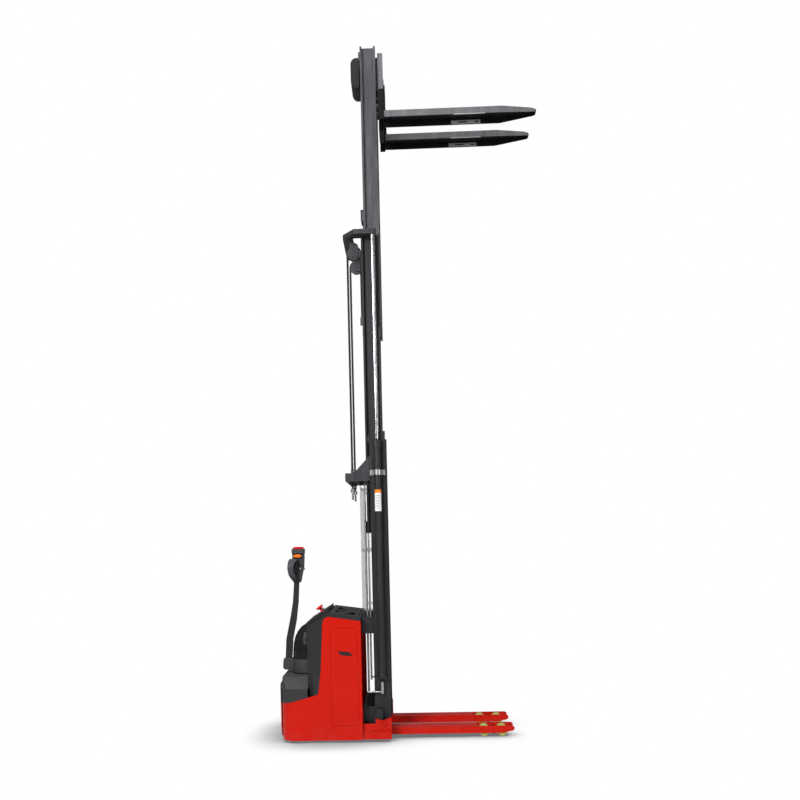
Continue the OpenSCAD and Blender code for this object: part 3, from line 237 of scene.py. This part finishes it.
def moulded(name, colour, rough=0.5, grain=900.0, depth=0.25, edge_highlight=0.0, top=None):
    """Moulded plastic with a fine leather-like grain."""
    material, tree, shader = new_material(name)
    set_inputs(shader, IOR=1.48, Specular_IOR_Level=0.22)
    drift = noise(tree, 5.0, 4.0, 0.6)
    pale = tuple(min(1.0, c * 1.35 + 0.004) for c in colour)
    tone = ramp(tree, drift.outputs["Fac"], [(0.3, colour), (0.75, pale)])
    # Pale convex edges: a painted highlight, mixed in by the edge setting.
    if edge_highlight:
        rub = tuple(min(1.0, c * 2.2 + 0.03) for c in colour)
        mask = edge_highlight_mask(tree)
        share = tree.nodes.new("ShaderNodeMath")
        share.operation = "MULTIPLY"
        tree.links.new(mask, share.inputs[0])
        share.inputs[1].default_value = edge_highlight
        tone = mix_colour(tree, share.outputs[0], tone, rub)
    if top:
        facing = tree.nodes.new("ShaderNodeNewGeometry")
        parts = tree.nodes.new("ShaderNodeSeparateXYZ")
        tree.links.new(facing.outputs["True Normal"], parts.inputs["Vector"])
        tone = mix_colour(tree, grey_ramp(tree, parts.outputs["Z"], 0.0, 1.0, 0.15, 0.8), tone, top)
    tree.links.new(tone, shader.inputs["Base Color"])
    skin = noise(tree, grain, 2.0, 0.6)
    tree.links.new(grey_ramp(tree, skin.outputs["Fac"], rough * 0.85, rough * 1.15),
                   shader.inputs["Roughness"])
    bump(tree, shader, skin.outputs["Fac"], depth, 0.0005)
    return material


def metal(name, colour, rough=0.3, oily=0.0):
    """Bare metal with cloudy tarnish, and a film of oil where oily is above 0."""
    material, tree, shader = new_material(name)
    set_inputs(shader, Metallic=1.0)
    cloud = noise(tree, 7.0, 5.0, 0.6)
    dull = tuple(c * 0.72 for c in colour)
    tone = ramp(tree, cloud.outputs["Fac"], [(0.3, dull), (0.7, colour)])
    if oily:
        film = noise(tree, 3.0, 4.0, 0.6)
        share = grey_ramp(tree, film.outputs["Fac"], 0.0, oily, 0.45, 0.7)
        tone = mix_colour(tree, share, tone, (0.03, 0.025, 0.02))
    tree.links.new(tone, shader.inputs["Base Color"])
    streak = noise(tree, 60.0, 3.0, 0.6)
    tree.links.new(grey_ramp(tree, streak.outputs["Fac"], rough * 0.7, rough * 1.4),
                   shader.inputs["Roughness"])
    bump(tree, shader, streak.outputs["Fac"], 0.06, 0.0003)
    return material


def cast(name, colour, rough=0.6):
    """Sand-cast metal under a thin coat of paint."""
    material, tree, shader = new_material(name)
    set_inputs(shader, Metallic=0.55)
    lump = noise(tree, 160.0, 6.0, 0.7)
    pale = tuple(c * 1.5 for c in colour)
    tree.links.new(ramp(tree, lump.outputs["Fac"], [(0.3, colour), (0.8, pale)]), shader.inputs["Base Color"])
    tree.links.new(grey_ramp(tree, lump.outputs["Fac"], rough * 0.8, rough * 1.1), shader.inputs["Roughness"])
    bump(tree, shader, lump.outputs["Fac"], 0.4, 0.0012)
    return material


def tyre(name, colour, scuff):
    """Polyurethane tyre: satin, with a scuffed tread."""
    material, tree, shader = new_material(name)
    set_inputs(shader, IOR=1.5)
    rub = noise(tree, 55.0, 6.0, 0.7)
    tree.links.new(ramp(tree, rub.outputs["Fac"], [(0.3, colour), (0.8, scuff)]), shader.inputs["Base Color"])
    tree.links.new(grey_ramp(tree, rub.outputs["Fac"], 0.3, 0.55), shader.inputs["Roughness"])
    bump(tree, shader, rub.outputs["Fac"], 0.15, 0.0008)
    return material


def screen(name):
    """Clear polycarbonate sheet with faint haze."""
    material, tree, shader = new_material(name)
    set_inputs(shader, IOR=1.2, Transmission_Weight=1.0, Alpha=0.35)
    haze = noise(tree, 12.0, 5.0, 0.6)
    tree.links.new(ramp(tree, haze.outputs["Fac"], [(0.3, (0.86, 0.88, 0.89)), (0.7, (0.95, 0.96, 0.97))]),
                   shader.inputs["Base Color"])
    tree.links.new(grey_ramp(tree, haze.outputs["Fac"], 0.08, 0.2), shader.inputs["Roughness"])
    return material


def steel_paint(name, dark, pale=None, split=None, rough=0.42):
    """Thin paint over rolled steel, drawn out in faint streaks. split(tree) is 1 where the pale tone goes."""
    material, tree, shader = new_material(name)
    set_inputs(shader, Metallic=0.25, IOR=1.5, Specular_IOR_Level=0.3)
    streak = noise(tree, 26.0, 6.0, 0.7, (1.0, 1.0, 0.12)).outputs["Fac"]

    def streaked(colour, least, most):
        stops = [(0.3, tuple(c * least for c in colour)), (0.75, tuple(c * most for c in colour))]
        return ramp(tree, streak, stops)

    tone = streaked(dark, 0.7, 1.4)
    if split:
        tone = mix_colour(tree, split(tree), tone, streaked(pale, 0.75, 1.3))
    tree.links.new(tone, shader.inputs["Base Color"])
    tree.links.new(grey_ramp(tree, streak, rough * 0.8, rough * 1.25), shader.inputs["Roughness"])
    skin = noise(tree, 300.0, 3.0, 0.6)
    bump(tree, shader, skin.outputs["Fac"], 0.12, 0.0004)
    return material


def above(z, reach=0.004):
    """A mask that is 1 above height z and 0 below it."""
    return lambda tree: map_range(tree, object_place(tree)["Z"], z - reach, z + reach)


def lit_fork_flanks_mask(tree):
    """Painted light: 1 on the forks' outer flanks, following the taper, which the pale tone paints as lit; 0
    inside their channels, which keep the dark tone as painted shade, and on the shanks.
    """
    def reckon(operation, value, operand=0.0):
        step = tree.nodes.new("ShaderNodeMath")
        step.operation = operation
        tree.links.new(value, step.inputs[0])
        if isinstance(operand, float):
            step.inputs[1].default_value = operand
        else:
            tree.links.new(operand, step.inputs[1])
        return step.outputs["Value"]

    skin, margin, nose = 0.004, 0.001, 0.014
    tip_x = high("left_fork", 0)
    place = object_place(tree)
    half = map_range(tree, place["X"], tip_x - TAPER_L, tip_x - nose, FORK_HALF - skin, TIP_HALF - skin)
    from_centre = reckon("SUBTRACT", reckon("ABSOLUTE", place["Y"]), mid("left_fork", 1))
    flank = reckon("GREATER_THAN", reckon("ABSOLUTE", from_centre), half)
    below = reckon("MULTIPLY", flank, reckon("LESS_THAN", place["Z"], FORK_TOP + margin))
    return reckon("MULTIPLY", below, reckon("GREATER_THAN", place["X"], HEEL_X + margin))


RED = paint("red_paint", (0.60, 0.009, 0.0015), (0.55, 0.007, 0.0012), rough=0.32, coat=0.04, peel=0.06,
            dust=0.06, shine=0.12)
CHARCOAL = steel_paint("charcoal_paint", (0.026, 0.027, 0.030))
BRACKET_PAINT = steel_paint("bracket_paint", (0.042, 0.044, 0.048))
INNER_PAINT = steel_paint("inner_stage_paint", (0.095, 0.098, 0.106), rough=0.36)
CARRIAGE_PAINT = steel_paint("carriage_paint", (0.014, 0.014, 0.016), (0.17, 0.175, 0.185),
                             above(high("left_fork", 2) + 0.008))
# Forks: the pale tone paints the outer flanks as lit and the dark tone paints the channels' insides as shade;
# both are painted light.
FORK_PAINT_LIT_AND_SHADED = steel_paint("fork_paint_lit_and_shaded", (0.010, 0.010, 0.011), (0.19, 0.195, 0.205), lit_fork_flanks_mask, rough=0.34)
# The edge setting on these plastics paints a pale highlight along their convex edges.
BLACK = moulded("black_plastic", (0.012, 0.012, 0.013), rough=0.42, depth=0.2, edge_highlight=0.25)
GLOSS_BLACK = moulded("gloss_black_plastic", (0.010, 0.010, 0.011), rough=0.2, grain=500.0, depth=0.05)
SHELF_GRAIN = moulded("shelf_plastic", (0.016, 0.016, 0.017), rough=0.5, grain=260.0, depth=0.5, edge_highlight=0.35,
                      top=(0.075, 0.075, 0.078))
GREY_BLACK = moulded("lid_plastic", (0.030, 0.031, 0.033), rough=0.5, depth=0.3, edge_highlight=0.25)
HEAD_GREY = moulded("head_plastic", (0.035, 0.036, 0.040), rough=0.45, depth=0.2, edge_highlight=0.2)
GREY = moulded("grey_plastic", (0.22, 0.23, 0.24), rough=0.4)
PLATE_GREY = moulded("plate_grey", (0.24, 0.245, 0.25), rough=0.45, depth=0.1)
PALE = moulded("pale_plastic", (0.72, 0.72, 0.70), rough=0.35, depth=0.08)
ORANGE = moulded("orange_plastic", (0.88, 0.17, 0.012), rough=0.32, depth=0.08)
ORANGE_STICKER = moulded("orange_sticker", (0.85, 0.22, 0.02), rough=0.4, depth=0.03)
RED_PLASTIC = moulded("red_plastic", (0.70, 0.010, 0.014), rough=0.24, depth=0.04)
HOSE = moulded("hose_rubber", (0.014, 0.014, 0.014), rough=0.55, grain=300.0)
BATTERY = moulded("battery_case", (0.04, 0.042, 0.046), rough=0.55)
CHROME = metal("chrome", (0.58, 0.59, 0.61), rough=0.2)
ZINC = metal("zinc_steel", (0.62, 0.62, 0.61), rough=0.34)
ROLLER = metal("roller_steel", (0.07, 0.07, 0.075), rough=0.42, oily=0.6)
CHAIN = metal("chain_steel", (0.030, 0.030, 0.031), rough=0.5, oily=0.6)
CASTING = cast("drive_casting", (0.055, 0.056, 0.058))
GREEN_TYRE = tyre("green_tyre", (0.50, 0.52, 0.10), (0.62, 0.62, 0.20))
BLACK_TYRE = tyre("black_tyre", (0.020, 0.020, 0.020), (0.05, 0.048, 0.045))
CLEAR = screen("clear_screen")

FINISH = {
    RED: ["body_shell", "side_doors", "chassis_frame", "left_leg", "right_leg"],
    BLACK: ["top_cover", "tiller_arm", "top_guard"],
    SHELF_GRAIN: ["rear_bumper"],
    GLOSS_BLACK: ["drive_cover"],
    GREY_BLACK: ["storage_lid"],
    HEAD_GREY: ["tiller_head"],
    BRACKET_PAINT: ["crosshead", "chain_beam"],
    CHARCOAL: ["outer_mast", "middle_mast", "cylinder_tubes", "free_lift_cylinder"],
    CARRIAGE_PAINT: ["carriage_frame"],
    INNER_PAINT: ["inner_mast"],
    FORK_PAINT_LIT_AND_SHADED: ["left_fork", "right_fork"],
    CHROME: ["cylinder_rods"],
    ZINC: ["cylinder_clamps", "hydraulic_lines", "free_lift_yoke", "horn_button", "key_switch",
           "left_castor", "right_castor"],
    ROLLER: ["outer_rollers", "middle_low_rollers", "middle_top_rollers", "inner_rollers",
             "carriage_low_rollers", "carriage_top_rollers", "lift_pulleys", "yoke_pulleys",
             "left_bogie", "right_bogie"],
    CHAIN: ["lift_chains", "free_lift_chains"],
    CLEAR: ["mast_guard"],
    GREEN_TYRE: ["left_front_wheel", "left_rear_wheel", "right_front_wheel", "right_rear_wheel"],
    BLACK_TYRE: ["drive_wheel", "left_castor_wheel", "right_castor_wheel"],
    BATTERY: ["battery_pack"],
    CASTING: ["drive_unit", "steering_head", "pump_unit"],
    GREY: ["controller", "lift_rocker"],
    ORANGE: ["throttle"],
    RED_PLASTIC: ["stop_button", "belly_button"],
}
for material, names in FINISH.items():
    for name in names:
        mesh = nodes[name].data
        mesh.materials.clear()
        mesh.materials.append(material)


# ---------------------------------------------------------------- mesh helpers

def finish_mesh(name, bm, material, body, bevel=0.0, smooth=True):
    bmesh.ops.recalc_face_normals(bm, faces=bm.faces)
    mesh = bpy.data.meshes.new(name)
    bm.to_mesh(mesh)
    bm.free()
    mesh.materials.append(material)
    piece = bpy.data.objects.new(name, mesh)
    bpy.context.scene.collection.objects.link(piece)
    if bevel:
        soften(piece, bevel)
    if smooth:
        smooth_by_angle(piece)
    if body:
        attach(piece, body)
    return piece


def soften(piece, width, segments=2):
    modifier = piece.modifiers.new("soft_edges", "BEVEL")
    modifier.width = width
    modifier.segments = segments
    modifier.limit_method = "ANGLE"
    modifier.angle_limit = math.radians(35)
    modifier.harden_normals = False


def smooth_by_angle(piece, degrees=32):
    mesh = piece.data
    bm = bmesh.new()
    bm.from_mesh(mesh)
    limit = math.radians(degrees)
    for face in bm.faces:
        face.smooth = True
    for edge in bm.edges:
        edge.smooth = len(edge.link_faces) == 2 and edge.calc_face_angle(0) < limit
    bm.to_mesh(mesh)
    bm.free()


def add_prism(bm, outline, start, end, axis="Y"):
    """A closed prism: outline is a list of two coordinates, swept from start to end along the axis."""
    place = {
        "X": lambda a, b, c: (c, a, b),
        "Y": lambda a, b, c: (a, c, b),
        "Z": lambda a, b, c: (a, b, c),
    }[axis]
    rings = []
    for level in (start, end):
        rings.append([bm.verts.new(place(a, b, level)) for a, b in outline])
    count = len(outline)
    for i in range(count):
        j = (i + 1) % count
        bm.faces.new((rings[0][i], rings[0][j], rings[1][j], rings[1][i]))
    bm.faces.new(rings[0][::-1])
    bm.faces.new(rings[1])


def circle_points(cx, cy, radius, count=24):
    return [(cx + radius * math.cos(2 * math.pi * i / count),
             cy + radius * math.sin(2 * math.pi * i / count)) for i in range(count)]


def add_block(bm, x0, x1, y0, y1, z0, z1):
    add_prism(bm, [(x0, y0), (x1, y0), (x1, y1), (x0, y1)], z0, z1, "Z")


def add_lathe(bm, profile, centre, axis="Z", count=40):
    """Turns (radius, height) points about an axis through centre; the profile is a closed loop."""
    turn = {
        "X": lambda r, h, a: (h, r * math.cos(a), r * math.sin(a)),
        "Y": lambda r, h, a: (r * math.cos(a), h, r * math.sin(a)),
        "Z": lambda r, h, a: (r * math.cos(a), r * math.sin(a), h),
    }[axis]
    rings = []
    for i in range(count):
        angle = 2 * math.pi * i / count
        ring = []
        for r, h in profile:
            x, y, z = turn(r, h, angle)
            ring.append(bm.verts.new((centre[0] + x, centre[1] + y, centre[2] + z)))
        rings.append(ring)
    for i in range(count):
        a, b = rings[i], rings[(i + 1) % count]
        for k in range(len(profile)):
            m = (k + 1) % len(profile)
            bm.faces.new((a[k], b[k], b[m], a[m]))


def add_hex_bolt(bm, centre, axis, size, height):
    """Hexagon head on a washer; axis is the signed axis that the head stands up along."""
    sign = -1 if axis[0] == "-" else 1
    name = axis[-1]
    index = "XYZ".index(name)
    flat = [c for k, c in enumerate(centre) if k != index]
    at = centre[index]
    washer = circle_points(*flat, size * 0.72, 24)
    head = circle_points(*flat, size * 0.56, 6)
    crown = circle_points(*flat, size * 0.40, 12)
    add_prism(bm, washer, at, at + sign * height * 0.22, name)
    add_prism(bm, head, at + sign * height * 0.2, at + sign * height * 0.9, name)
    add_prism(bm, crown, at + sign * height * 0.85, at + sign * height, name)


# ---------------------------------------------------------------- leaf chains

def plate_outline():
    """Figure-of-eight link plate between two pins, pin to pin along the first axis."""
    half = PITCH / 2
    points = []
    for side in (1, -1):
        for degrees in (-90, -45, 0, 45, 90):
            angle = math.radians(degrees if side > 0 else degrees + 180)
            points.append((side * half + PLATE_HALF * 0.94 * math.cos(angle), PLATE_HALF * math.sin(angle)))
        points.append((0.0, side * WAIST))
    return points


def add_leaf_chain(bm, path, y):
    """Leaf chain along path, a list of (x, z) pin places one pitch apart, centred on y."""
    leaf = CHAIN_W / 9
    outline = plate_outline()
    for i in range(len(path) - 1):
        (x0, z0), (x1, z1) = path[i], path[i + 1]
        length = math.hypot(x1 - x0, z1 - z0)
        ux, uz = (x1 - x0) / length, (z1 - z0) / length
        cx, cz = (x0 + x1) / 2, (z0 + z1) / 2
        shape = [(cx + a * ux - b * uz, cz + a * uz + b * ux) for a, b in outline]
        rows = (-3.6, -1.4, 0.8, 3.0) if i % 2 == 0 else (-2.5, -0.3, 1.9)
        for row in rows:
            start = y + row * leaf
            add_prism(bm, shape, start, start + leaf * 0.92, "Y")
    for x, z in path:
        add_prism(bm, circle_points(x, z, PIN_R, 8), y - CHAIN_W / 2, y + CHAIN_W / 2, "Y")


def straight(x, z0, z1):
    count = max(2, round(abs(z1 - z0) / PITCH))
    return [(x, z0 + (z1 - z0) * i / count) for i in range(count + 1)]


def over_pulley(x, z, radius):
    count = round(math.pi * radius / PITCH)
    return [(x - radius * math.cos(math.pi * i / count), z + radius * math.sin(math.pi * i / count))
            for i in range(count + 1)]


def chain_piece(name, path, y, body):
    bm = bmesh.new()
    for side in (-1, 1):
        add_leaf_chain(bm, path, side * y)
    return finish_mesh(name, bm, CHAIN, body)


def leaf_chains(prefix, node, pulleys, y, front_foot, bodies):
    """A pair of chains: rear runs, wraps on the pulleys, and front runs.

    bodies are those of the rear runs, the wraps and the front runs' top and foot."""
    rear_body, wrap_body, top_body, foot_body = bodies
    box_low, box_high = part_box(node)
    x, z = mid(pulleys, 0), mid(pulleys, 2)
    radius = (box_high[0] - box_low[0]) / 2 - CHAIN_HALF_T
    foot = box_low[2]
    rear = chain_piece(prefix + "_rear_runs", straight(x - radius, foot, z), y, rear_body)
    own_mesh(rear)
    wrap = chain_piece(prefix + "_wraps", over_pulley(x, z, radius), y, wrap_body)
    front = chain_piece(prefix + "_front_runs", straight(x + radius, front_foot, z), y, None)
    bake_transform(front)
    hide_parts(node)


def lift_chains():
    leaf_chains("lift_chain", "lift_chains", "lift_pulleys", LIFT_CHAIN_Y, FRONT_LUG_TOP,
                ("chassis", "middle_stage", "middle_stage", "inner_stage"))


def free_lift_chains():
    leaf_chains("free_chain", "free_lift_chains", "yoke_pulleys", FREE_CHAIN_Y, CARRIAGE_EAR_TOP,
                ("inner_stage", "yoke", "inner_stage", "carriage"))


def anchor_rods():
    """Threaded rods with paired nuts, which hold the lift chains' rear feet in the beam."""
    thread, core_r, crest_r, nut_r, nut_h = 0.003, 0.0072, 0.0086, 0.0155, 0.013
    bm = bmesh.new()
    x = mid("lift_pulleys", 0) - 0.051
    beam_low, beam_high = low("chain_beam", 2), high("chain_beam", 2)
    top, foot = beam_high + 0.038, beam_low - 0.085
    profile = [(0.0001, foot)]
    for i in range(int((top - foot) / thread)):
        z = foot + i * thread
        profile += [(core_r, z), (crest_r, z + thread / 2)]
    profile += [(core_r, top), (0.0001, top)]
    for side in (-1, 1):
        y = side * LIFT_CHAIN_Y
        add_lathe(bm, profile, (x, y, 0), "Z", 16)
        for z in (beam_low - 0.016, beam_low - 0.031):
            add_prism(bm, circle_points(x, y, nut_r, 6), z, z + nut_h, "Z")
    return finish_mesh("chain_anchor_rods", bm, ZINC, "chassis")


# ---------------------------------------------------------------- cylinders and clamps

def wrapped_patch(bm, centre, radius, z0, z1, middle, half, thick=0.0004, count=14):
    """A thin sheet wrapped round an upright tube, centred on the direction middle, in degrees."""
    inner, outer = [], []
    for i in range(count + 1):
        angle = math.radians(middle - half + 2 * half * i / count)
        for ring, r in ((inner, radius), (outer, radius + thick)):
            x = centre[0] + r * math.cos(angle)
            y = centre[1] + r * math.sin(angle)
            ring.append((x, y))
    add_prism(bm, outer + inner[::-1], z0, z1, "Z")


def cylinder_labels():
    """A plain orange and white panel on each lift cylinder, with grey rules in place of words."""
    parts = {"orange": bmesh.new(), "white": bmesh.new(), "rules": bmesh.new()}
    for side in (-1, 1):
        centre = (TUBE_X, side * TUBE_Y)
        facing = side * 90
        for name, z0, z1 in (("orange", LABEL_SPLIT, LABEL_TOP), ("white", LABEL_FOOT, LABEL_SPLIT)):
            wrapped_patch(parts[name], centre, TUBE_R + 0.0002, z0, z1, facing, LABEL_HALF_ANGLE)
        for row in range(9):
            half = 40 if row % 3 else 24
            z = LABEL_FOOT + 0.018 + row * 0.012
            wrapped_patch(parts["rules"], centre, TUBE_R + 0.0006, z, z + 0.0035, facing, half)
    for name, material in (("orange", ORANGE_STICKER), ("white", PALE), ("rules", GREY)):
        finish_mesh("cylinder_label_" + name, parts[name], material, "chassis")


def cylinder_bands():
    """Black straps round the cylinders, each with its buckle towards the mast."""
    skin, proud, half = TUBE_R + 0.0003, TUBE_R + 0.0022, 0.006
    bm = bmesh.new()
    for side in (-1, 1):
        for z in BAND_Z:
            edge = half - 0.0008
            profile = [(skin, z - half), (proud, z - edge), (proud, z + edge), (skin, z + half)]
            add_lathe(bm, profile, (TUBE_X, side * TUBE_Y, 0), "Z", 48)
            add_block(bm, TUBE_X - half, TUBE_X + half, side * 0.308 - 0.0005, side * 0.316,
                      z - 0.005, z + 0.005)
    return finish_mesh("cylinder_bands", bm, BLACK, "chassis")


def rod_wipers():
    """Rubber wiper rings where each rod leaves its gland."""
    bm = bmesh.new()
    top = high("cylinder_tubes", 2)
    for side in (-1, 1):
        profile = [(0.0163, top - 0.001), (0.024, top - 0.001), (0.0228, top + 0.004), (0.0163, top + 0.0055)]
        add_lathe(bm, profile, (TUBE_X, side * TUBE_Y, 0), "Z", 40)
    return finish_mesh("rod_wipers", bm, HOSE, "chassis")


# ---------------------------------------------------------------- body details

def slot_shade_blocks():
    """Black blocks behind the doors' hand slots: painted shade standing in for the dark inside the body."""
    bm = bmesh.new()
    for side in (-1, 1):
        y0 = side * 0.3925
        y1 = side * 0.372
        add_block(bm, *DOOR_SHADE_X, min(y0, y1), max(y0, y1), *DOOR_SHADE_Z)
    return finish_mesh("door_slot_shade_blocks", bm, BLACK, "chassis", bevel=0.004)


def fork_plates():
    """Pale strips under the channels' lower edges and slotted plates on their inner walls."""
    half_t = 0.0026
    z0, z1 = PLATE_Z
    strips, plates = bmesh.new(), bmesh.new()
    for side in (-1, 1):
        centre = side * mid("left_fork", 1)
        for wall in (-1, 1):
            y = centre + wall * (FORK_HALF - 0.003)
            add_block(strips, *STRIP_X, y - half_t, y + half_t, FORK_FOOT - 0.002, FORK_FOOT + 0.001)
            y = centre + wall * (FORK_HALF - 0.0088)
            for x0, x1 in PLATE_WEBS:
                add_block(plates, x0, x1, y - half_t, y + half_t, z0, z1)
            for foot, top in ((z0, z0 + 0.008), (z1 - 0.008, z1)):
                add_block(plates, PLATE_X[0] + 0.001, PLATE_X[1] - 0.001, y - 0.0025, y + 0.0025, foot, top)
    finish_mesh("fork_edge_strips", strips, PALE, "carriage")
    return finish_mesh("fork_slotted_plates", plates, PLATE_GREY, "carriage")


def frame_bosses():
    """Boss ring with its bolt, and the welded ledge, on each flank of the frame's mast bracket."""
    inner_r, outer_r, sunk = 0.012, 0.021, 0.002
    face = high("chassis_frame", 1)
    bm, bolts = bmesh.new(), bmesh.new()
    for side in (-1, 1):
        h0, h1 = sorted((side * (face - sunk), side * (face + 0.005)))
        ring = [(inner_r, h0), (outer_r, h0), (outer_r, h1), (inner_r, h1)]
        add_lathe(bm, ring, (BOSS_X, 0, BOSS_Z), "Y", 40)
        bolt_axis = "-Y" if side < 0 else "Y"
        add_hex_bolt(bolts, (BOSS_X, side * (face - 0.001), BOSS_Z), bolt_axis, 0.019, 0.008)
        y0, y1 = sorted((side * (face - sunk), side * (face + 0.006)))
        add_block(bm, *LEDGE_X, y0, y1, *LEDGE_Z)
    finish_mesh("frame_boss_bolts", bolts, RED, "chassis")
    return finish_mesh("frame_bosses", bm, RED, "chassis", bevel=0.0008)


for build in (lift_chains, free_lift_chains, anchor_rods, cylinder_labels, cylinder_bands, rod_wipers,
              slot_shade_blocks, fork_plates, frame_bosses):
    build()


# Bevel width, and the CAD pieces whose sharp edges it rounds
SOFT_EDGES = {
    0.0025: ["body_shell", "top_cover", "rear_bumper", "storage_lid", "tiller_arm",
             "crosshead", "chain_beam"],
    0.0012: ["side_doors", "tiller_head", "chassis_frame", "left_leg", "right_leg",
             "left_fork", "right_fork"],
}
for width, names in SOFT_EDGES.items():
    for name in names:
        soften(nodes[name], width)


# ---------------------------------------------------------------- studio and camera

WORLD_LIGHT = 0.16
FLOOR_RADIUS = 40.0
CONTACT_REACH = 0.34


def floor_material():
    """White to the camera with a soft contact shadow; plain matt white to everything else."""
    material, tree, shader = new_material("studio_floor_white")
    set_inputs(shader, Base_Color=(0.8, 0.8, 0.8, 1), Roughness=0.8, Specular_IOR_Level=0.1)
    cover = tree.nodes.new("ShaderNodeAmbientOcclusion")
    cover.samples = 16
    cover.inputs["Distance"].default_value = CONTACT_REACH
    shade = ramp(tree, cover.outputs["AO"],
                 [(0.3, (0.16, 0.16, 0.17)), (0.72, (0.62, 0.62, 0.63)), (0.97, (1, 1, 1))])
    glow = tree.nodes.new("ShaderNodeEmission")
    tree.links.new(shade, glow.inputs["Color"])
    path = tree.nodes.new("ShaderNodeLightPath")
    choose = tree.nodes.new("ShaderNodeMixShader")
    tree.links.new(path.outputs["Is Camera Ray"], choose.inputs["Fac"])
    tree.links.new(shader.outputs["BSDF"], choose.inputs[1])
    tree.links.new(glow.outputs["Emission"], choose.inputs[2])
    tree.links.new(choose.outputs["Shader"], tree.nodes["Material Output"].inputs["Surface"])
    return material


def studio():
    """A white floor and background, a soft key from the left, and weaker fill, top and back lights."""
    bm = bmesh.new()
    bmesh.ops.create_circle(bm, cap_ends=True, segments=96, radius=FLOOR_RADIUS)
    floor = finish_mesh("studio_floor", bm, floor_material(), None, smooth=False)
    floor.location = (0, 0, cad_box[0][2] - 0.0005)

    world = bpy.data.worlds.new("studio_world")
    bpy.context.scene.world = world
    world.use_nodes = True
    tree = world.node_tree
    path = tree.nodes.new("ShaderNodeLightPath")
    glow = map_range(tree, path.outputs["Is Camera Ray"], 0.0, 1.0, WORLD_LIGHT, 1.0)
    background = tree.nodes["Background"]
    background.inputs["Color"].default_value = (1, 1, 1, 1)
    tree.links.new(glow, background.inputs["Strength"])

    def soft_box(name, place, aim, width, height, watts):
        light = bpy.data.lights.new(name, "AREA")
        light.shape = "RECTANGLE"
        light.size = width
        light.size_y = height
        light.energy = watts
        lamp = bpy.data.objects.new(name, light)
        lamp.location = place
        lamp.rotation_euler = (Vector(aim) - Vector(place)).to_track_quat("-Z", "Y").to_euler()
        bpy.context.scene.collection.objects.link(lamp)

    soft_box("key", (-3.2, -6.0, 4.8), (0, 0, 1.8), 2.4, 2.4, 430)
    soft_box("fill", (4.6, -4.4, 3.2), (0, 0, 2.4), 0.9, 4.5, 110)
    soft_box("top", (-0.6, -0.6, 8.0), (0, 0, 2.0), 2.5, 1.5, 150)
    soft_box("back", (2.5, 5.5, 4.5), (0, 0, 2.6), 2.0, 3.0, 30)


def camera():
    """The photograph's viewpoint, from the truck's right: no pitch, a slight roll, and a lens shift."""
    data = bpy.data.cameras.new("photo_camera")
    data.sensor_width = 36.0
    data.lens = 38.74
    data.shift_x = 0.0308
    data.shift_y = 0.1667
    data.clip_end = 200
    cam = bpy.data.objects.new("photo_camera", data)
    yaw, roll = 0.0350, 0.0229
    cam.matrix_world = (Matrix.Translation((-0.0291, -6.778, 1.5515))
                        @ Matrix.Rotation(yaw, 4, "Z")
                        @ Matrix.Rotation(math.pi / 2, 4, "X")
                        @ Matrix.Rotation(-roll, 4, "Z"))
    bpy.context.scene.collection.objects.link(cam)
    bpy.context.scene.camera = cam


bpy.context.scene.view_settings.view_transform = "Standard"
studio()
camera()
